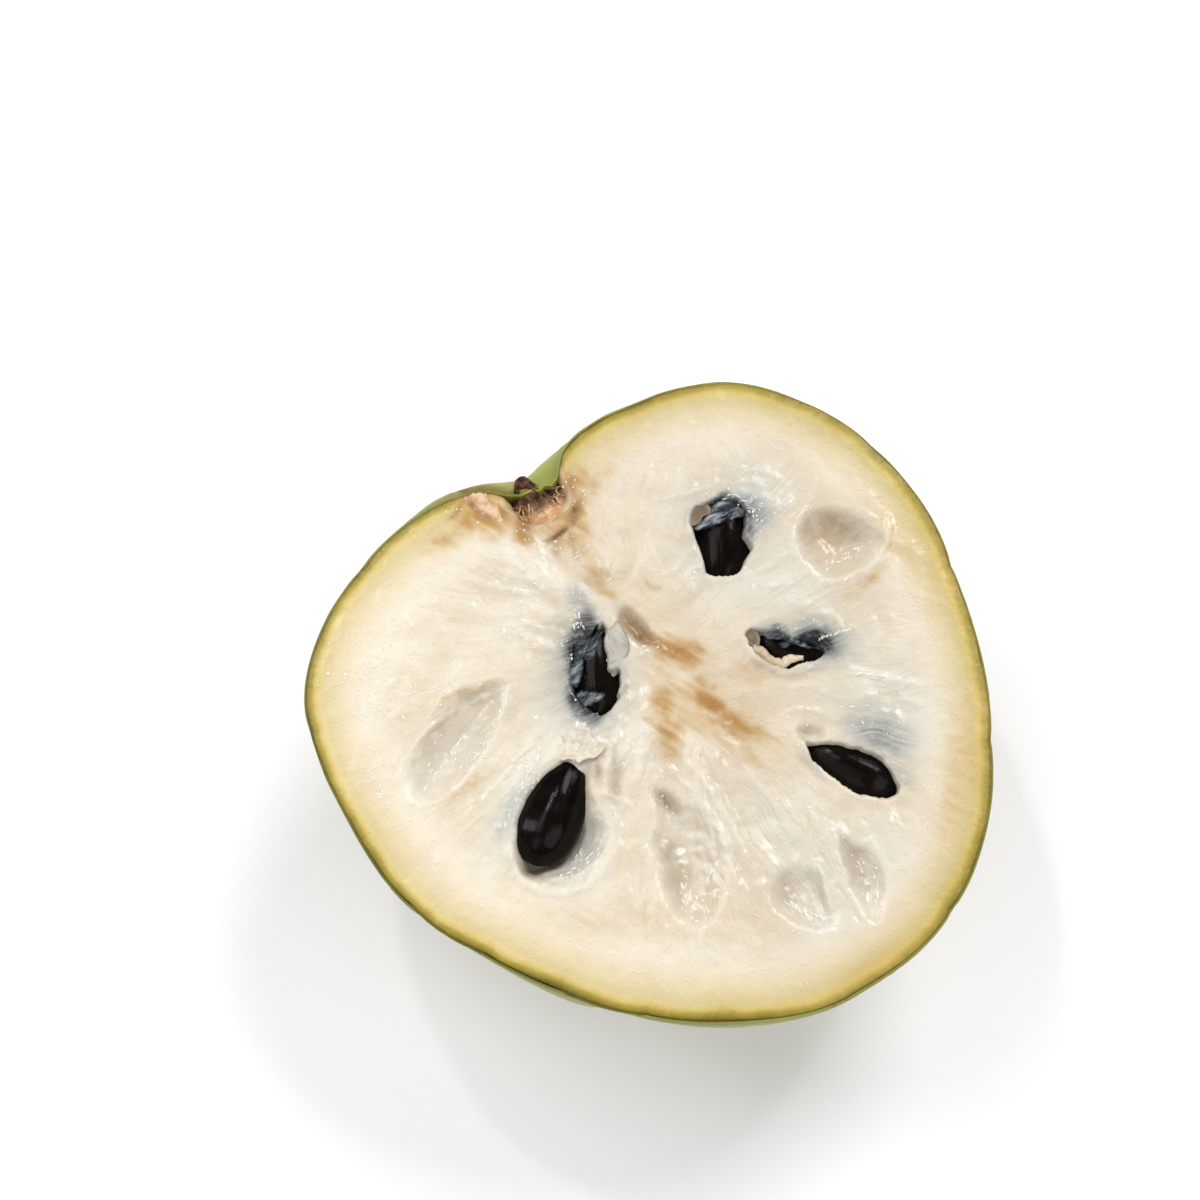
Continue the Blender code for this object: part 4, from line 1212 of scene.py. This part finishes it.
def torn_finish():
    make = Finish("stained_flesh", roughness=0.4, specular_ior_level=0.4)
    place = make.place()
    cloud = make.noise(place, 420.0, 4.0, 0.6)
    grain = make.noise(place, 1600.0, 2.0)
    base = make.fade(cloud, 0.35, 0.62, (186, 136, 96), (216, 184, 150))
    base = make.over(base, (make.rise(grain, 0.60, 0.75) * 0.4, (170, 116, 74)))
    return make.done(base_color=base, roughness=0.28 + cloud * 0.25,
                     normal=make.bump(cloud * 0.6 + grain * 0.3, 0.6, 0.0004))


def glint_beads():
    """Drops of juice that stand on the cut face, in loose clusters, coloured white as painted glints."""
    draw = np.random.default_rng(BEAD_DRAW)
    places, turns, sizes = [], [], []
    clusters = [(*cluster, True, BEAD_LENGTH) for cluster in GLINT_BEADS]
    clusters = clusters + [(*cluster, False, GLINT_LENGTH) for cluster in GLINTS]
    for mx, my, length, width, turn, count, loose, sizes_of in clusters:
        c, s = math.cos(math.radians(turn)), math.sin(math.radians(turn))
        for along, across in np.clip(draw.normal(0, 0.55, (count, 2)), -1.1, 1.1) * (length, width):
            places.append((mx + along * c - across * s, my + along * s + across * c))
            turns.append(draw.normal(0.9, 0.6) if loose else draw.normal(math.radians(turn), 0.22))
            long = draw.uniform(*sizes_of)
            sizes.append((long, long * 0.55 if loose else draw.uniform(0.07, 0.14)))
    places = np.array(places)
    angle = np.arctan2(places[:, 0], places[:, 1])
    edge = cut_radius(angle) - RIND_THICKNESS
    height, facts = lay_flesh(places[:, 0], places[:, 1], edge - np.hypot(*places.T))
    kept = (facts["rim"] > BEAD_RIM_GAP) & (height > BEAD_FLOOR)
    bpy.ops.mesh.primitive_ico_sphere_add(subdivisions=2, radius=1)
    pattern = named("glint_beads")
    shape = points_of(pattern)
    pattern.data.transform(Matrix.Scale(0.0, 4))
    copies = [pattern]
    for _ in range(int(kept.sum()) - 1):
        more = pattern.copy()
        more.data = pattern.data.copy()
        bpy.context.scene.collection.objects.link(more)
        copies.append(more)
    facts = zip(copies, places[kept], np.array(turns)[kept], np.array(sizes)[kept], height[kept])
    for bead, (x, y), turn, (length, width), level in facts:
        px, py, pz = (shape * (length, width, width * 0.8)).T
        px, py = turned(px, py, turn)
        put(bead, px + x, py + y, pz + level + BEAD_LIFT)
    only(pattern)
    for bead in copies:
        bead.select_set(True)
    bpy.ops.object.join()
    bpy.ops.object.shade_smooth()
    return pattern


def glint_bead_finish():
    make = Finish("painted_glint_white", roughness=0.08, specular_ior_level=0.8)
    cloud = make.noise(make.place(), 900.0, 2.0)
    # painted highlight: the beads are near white to stand for the glints on the wet flesh
    base = make.mix(cloud, colour(236, 232, 222), colour(255, 253, 248))
    return make.done(base_color=base, alpha=0.5 + cloud * 0.6, roughness=0.06 + cloud * 0.1)


def torn_strip():
    """The ragged strip of flesh that hangs across the right seed."""
    bpy.ops.mesh.primitive_grid_add(x_subdivisions=60, y_subdivisions=10, size=2)
    obj = named("torn_strip")
    a, b = points_of(obj)[:, :2].T
    place = (a + 1) / 2 * (len(STRIP) - 1)
    px, py, widths = np.array(STRIP).T
    wx, wy = np.gradient(np.column_stack([px, py]), axis=0).T
    length = np.hypot(wx, wy)
    x, y, wx, wy, width = (np.interp(place, np.arange(len(STRIP)), values)
                           for values in (px, py, wx / length, wy / length, widths))
    width = width * (1 + 0.45 * random_hills(place * 2.3, b * 0.6 + 3, 66))
    x, y = x - wy * b * width, y + wx * b * width
    height = -0.75 + 0.25 * rough_hills(x / 0.9, y / 0.9, 67) - 0.3 * b * b
    put(obj, x, y, height)
    thicken(obj, 0.5)
    return obj


def stalk_scar():
    """The dark, rough end of the stalk that the knife left in the dimple."""
    obj = ball("stalk_scar", 64, 40, 1)
    x, y, z = points_of(obj).T
    grain = np.sin(9 * x + 4) * np.cos(7 * z) * np.sin(5 * y + 1)
    px = x * (4.7 + 0.5 * grain) - 0.9
    stub = np.exp(-(((px + 1.9) / 1.75) ** 4)) * (y > 0)
    blunt = np.where(y > 0, np.abs(y) ** (1 - 0.5 * stub), y)
    py = blunt * (np.where(y > 0, 2.7, 4.3) + 0.5 * grain + 2.6 * stub) + 37.6
    pz = z * (5.2 + 0.5 * grain) - 0.6
    lumps = 0.8 * rough_hills(px / 1.6, py / 1.0, 71) + 0.3 * rough_hills(px / 0.4, py / 1.6, 74)
    top = -0.35 - 0.9 * ramp(py, 35.0, 38.0) + lumps * (0.35 + 0.5 * ramp(py, 35.0, 38.0))
    top = top + 1.5 * stub * ramp(py, 38.6, 40.0)
    top = top - 2.0 * np.exp(-(((px + 2.0) / 0.9) ** 2 + ((py - 41.1) / 1.0) ** 2))
    pz = np.where(z > 0, np.minimum(pz, top), pz)
    keep(obj, "dark", ramp(py + 0.8 * rough_hills(px / 1.2, py / 1.2, 76), 35.6, 38.8))
    put(obj, px, py, pz)
    bpy.ops.object.shade_smooth()
    return obj


def scar_finish():
    make = Finish("stalk_wood", roughness=0.7, specular_ior_level=0.4)
    place = make.place()
    cloud = make.noise(place, 380.0, 4.0, 0.65)
    stretched = make.noise(make.stretch(place, (1.0, 0.35, 1.0)), 1500.0, 3.0, 0.6)
    dark = make.read("dark")
    wood = make.fade(cloud, 0.38, 0.62, (40, 24, 12), (104, 68, 36))
    wood = make.mix(make.rise(stretched, 0.52, 0.7) * 0.7, wood, colour(150, 104, 58))
    torn = make.fade(cloud, 0.35, 0.65, (184, 134, 88), (222, 190, 150))
    torn = make.mix(make.rise(stretched, 0.55, 0.7) * 0.6, torn, colour(150, 98, 54))
    base = make.mix(dark, torn, wood)
    return make.done(base_color=base, roughness=0.5 + cloud * 0.35,
                     normal=make.bump(stretched * 0.8 + cloud * 0.6, 0.9, 0.0006))


def fibre_tubes(name, starts, ends):
    """Fine curved fibres, each from a start to an end with a random bow."""
    draw = np.random.default_rng(BOW_DRAW)
    line = bpy.data.curves.new(name, "CURVE")
    line.dimensions = "3D"
    line.bevel_depth = SCAR_FIBRE_RADIUS * MM
    line.bevel_resolution = 1
    line.use_fill_caps = True
    for start, end in zip(starts, ends):
        bow = draw.normal(0, 0.35, 3) * (1, 1, 0.5)
        spline = line.splines.new("POLY")
        spline.points.add(7)
        for number, point in enumerate(spline.points):
            share = number / 7
            middle = np.array(start) * (1 - share) + np.array(end) * share
            where = to_place(middle + bow * math.sin(math.pi * share) + draw.normal(0, 0.04, 3))
            point.co = (*where, 1)
            point.radius = 0.45 + 0.75 * math.sin(math.pi * (0.15 + 0.7 * share))
    only(added(name, line))
    bpy.ops.object.convert(target="MESH")
    obj = named(name)
    bpy.ops.object.shade_smooth()
    return obj


def scar_fibres():
    """Torn fibres over the scar and out of it into the flesh."""
    draw = np.random.default_rng(SCAR_FIBRE_DRAW)
    starts, ends = [], []
    for _ in range(SCAR_FIBRE_COUNT):
        x = draw.uniform(-4.6, 3.2)
        y = draw.uniform(35.6, 39.6)
        start = (x, y, draw.uniform(-1.6, -0.7))
        length = draw.uniform(1.0, 3.2)
        lean = draw.normal(-1.75 + 0.12 * x, 0.5)
        starts.append(start)
        ends.append((x + length * math.cos(lean), y + length * math.sin(lean), draw.uniform(-1.2, -0.3)))
    return fibre_tubes("scar_fibres", starts, ends)


# Stage, light and camera

def floor():
    bpy.ops.mesh.primitive_grid_add(x_subdivisions=4, y_subdivisions=4, size=4)
    obj = named("pale_floor")
    make = Finish("pale_floor", roughness=0.8, specular_ior_level=0.1)
    tint = make.mix(make.noise(make.place(), 3.0, 2.0), colour(249, 247, 251), colour(251, 249, 253))
    obj.data.materials.append(make.done(base_color=tint))


def photo_way(right, up, height):
    """A direction that is given as the photo shows it: to the right, to the top, and out of the floor."""
    c, s = math.cos(FRUIT_TURN), math.sin(FRUIT_TURN)
    return Vector((right * c + up * s, up * c - right * s, height)).normalized()


def lamp(name, way, distance, size, power):
    made = bpy.data.lights.new(name, "AREA")
    made.shape = "DISK"
    made.size = size
    made.energy = power
    obj = added(name, made)
    obj.location = Vector(LIT_POINT) + way * distance
    obj.rotation_euler = (-way).to_track_quat("-Z", "Y").to_euler()


def light():
    world = bpy.data.worlds.new("soft_room")
    world.use_nodes = True
    sky = world.node_tree.nodes["Background"].inputs
    sky["Color"].default_value = (1, 1, 1, 1)
    sky["Strength"].default_value = WORLD_STRENGTH
    bpy.context.scene.world = world
    for name, (way, distance, size, power) in LAMPS.items():
        lamp(name, photo_way(*way), distance, size, power)
    bpy.context.scene.view_settings.view_transform = "Standard"
    bpy.context.scene.view_settings.look = "None"


def camera():
    made = bpy.data.cameras.new("photo_camera")
    made.lens = LENS
    made.sensor_width = 36
    made.dof.use_dof = False
    obj = added("photo_camera", made)
    right = photo_way(1, 0, 0)
    look = -photo_way(0, -math.cos(VIEW_HEIGHT), math.sin(VIEW_HEIGHT))
    up = right.cross(look)
    target = Vector(to_place(VIEW_MIDDLE))
    turn = Matrix((right, up, -look)).transposed()
    obj.matrix_world = Matrix.Translation(target - look * CAMERA_DISTANCE) @ turn.to_4x4()
    bpy.context.scene.camera = obj


camera()
light()
floor()
settle(rind(), rind_finish(), "skin", "fruit_half")
settle(flesh(), flesh_finish(), "flesh", "fruit_half")
coat = seed_finish()
for seed_name, seed_facts in SEEDS.items():
    settle(seed(seed_name, seed_facts), coat, "seed_coat", seed_name)
wet = film_finish()
for film in films():
    settle(film, wet, "flesh")
settle(torn_strip(), flap_finish(), "flesh")
hollowed = recess_finish()
for recess in recesses():
    settle(recess, hollowed, "flesh")
wedge, lump, flap = lumps()
settle(wedge, wedge_finish(), "flesh")
settle(lump, torn_finish(), "flesh")
settle(flap, frayed_finish(), "flesh")
settle(glint_beads(), glint_bead_finish(), "flesh")
wood = scar_finish()
settle(stalk_scar(), wood, "stalk_wood", "stalk_stump")
settle(scar_fibres(), wood, "stalk_wood")
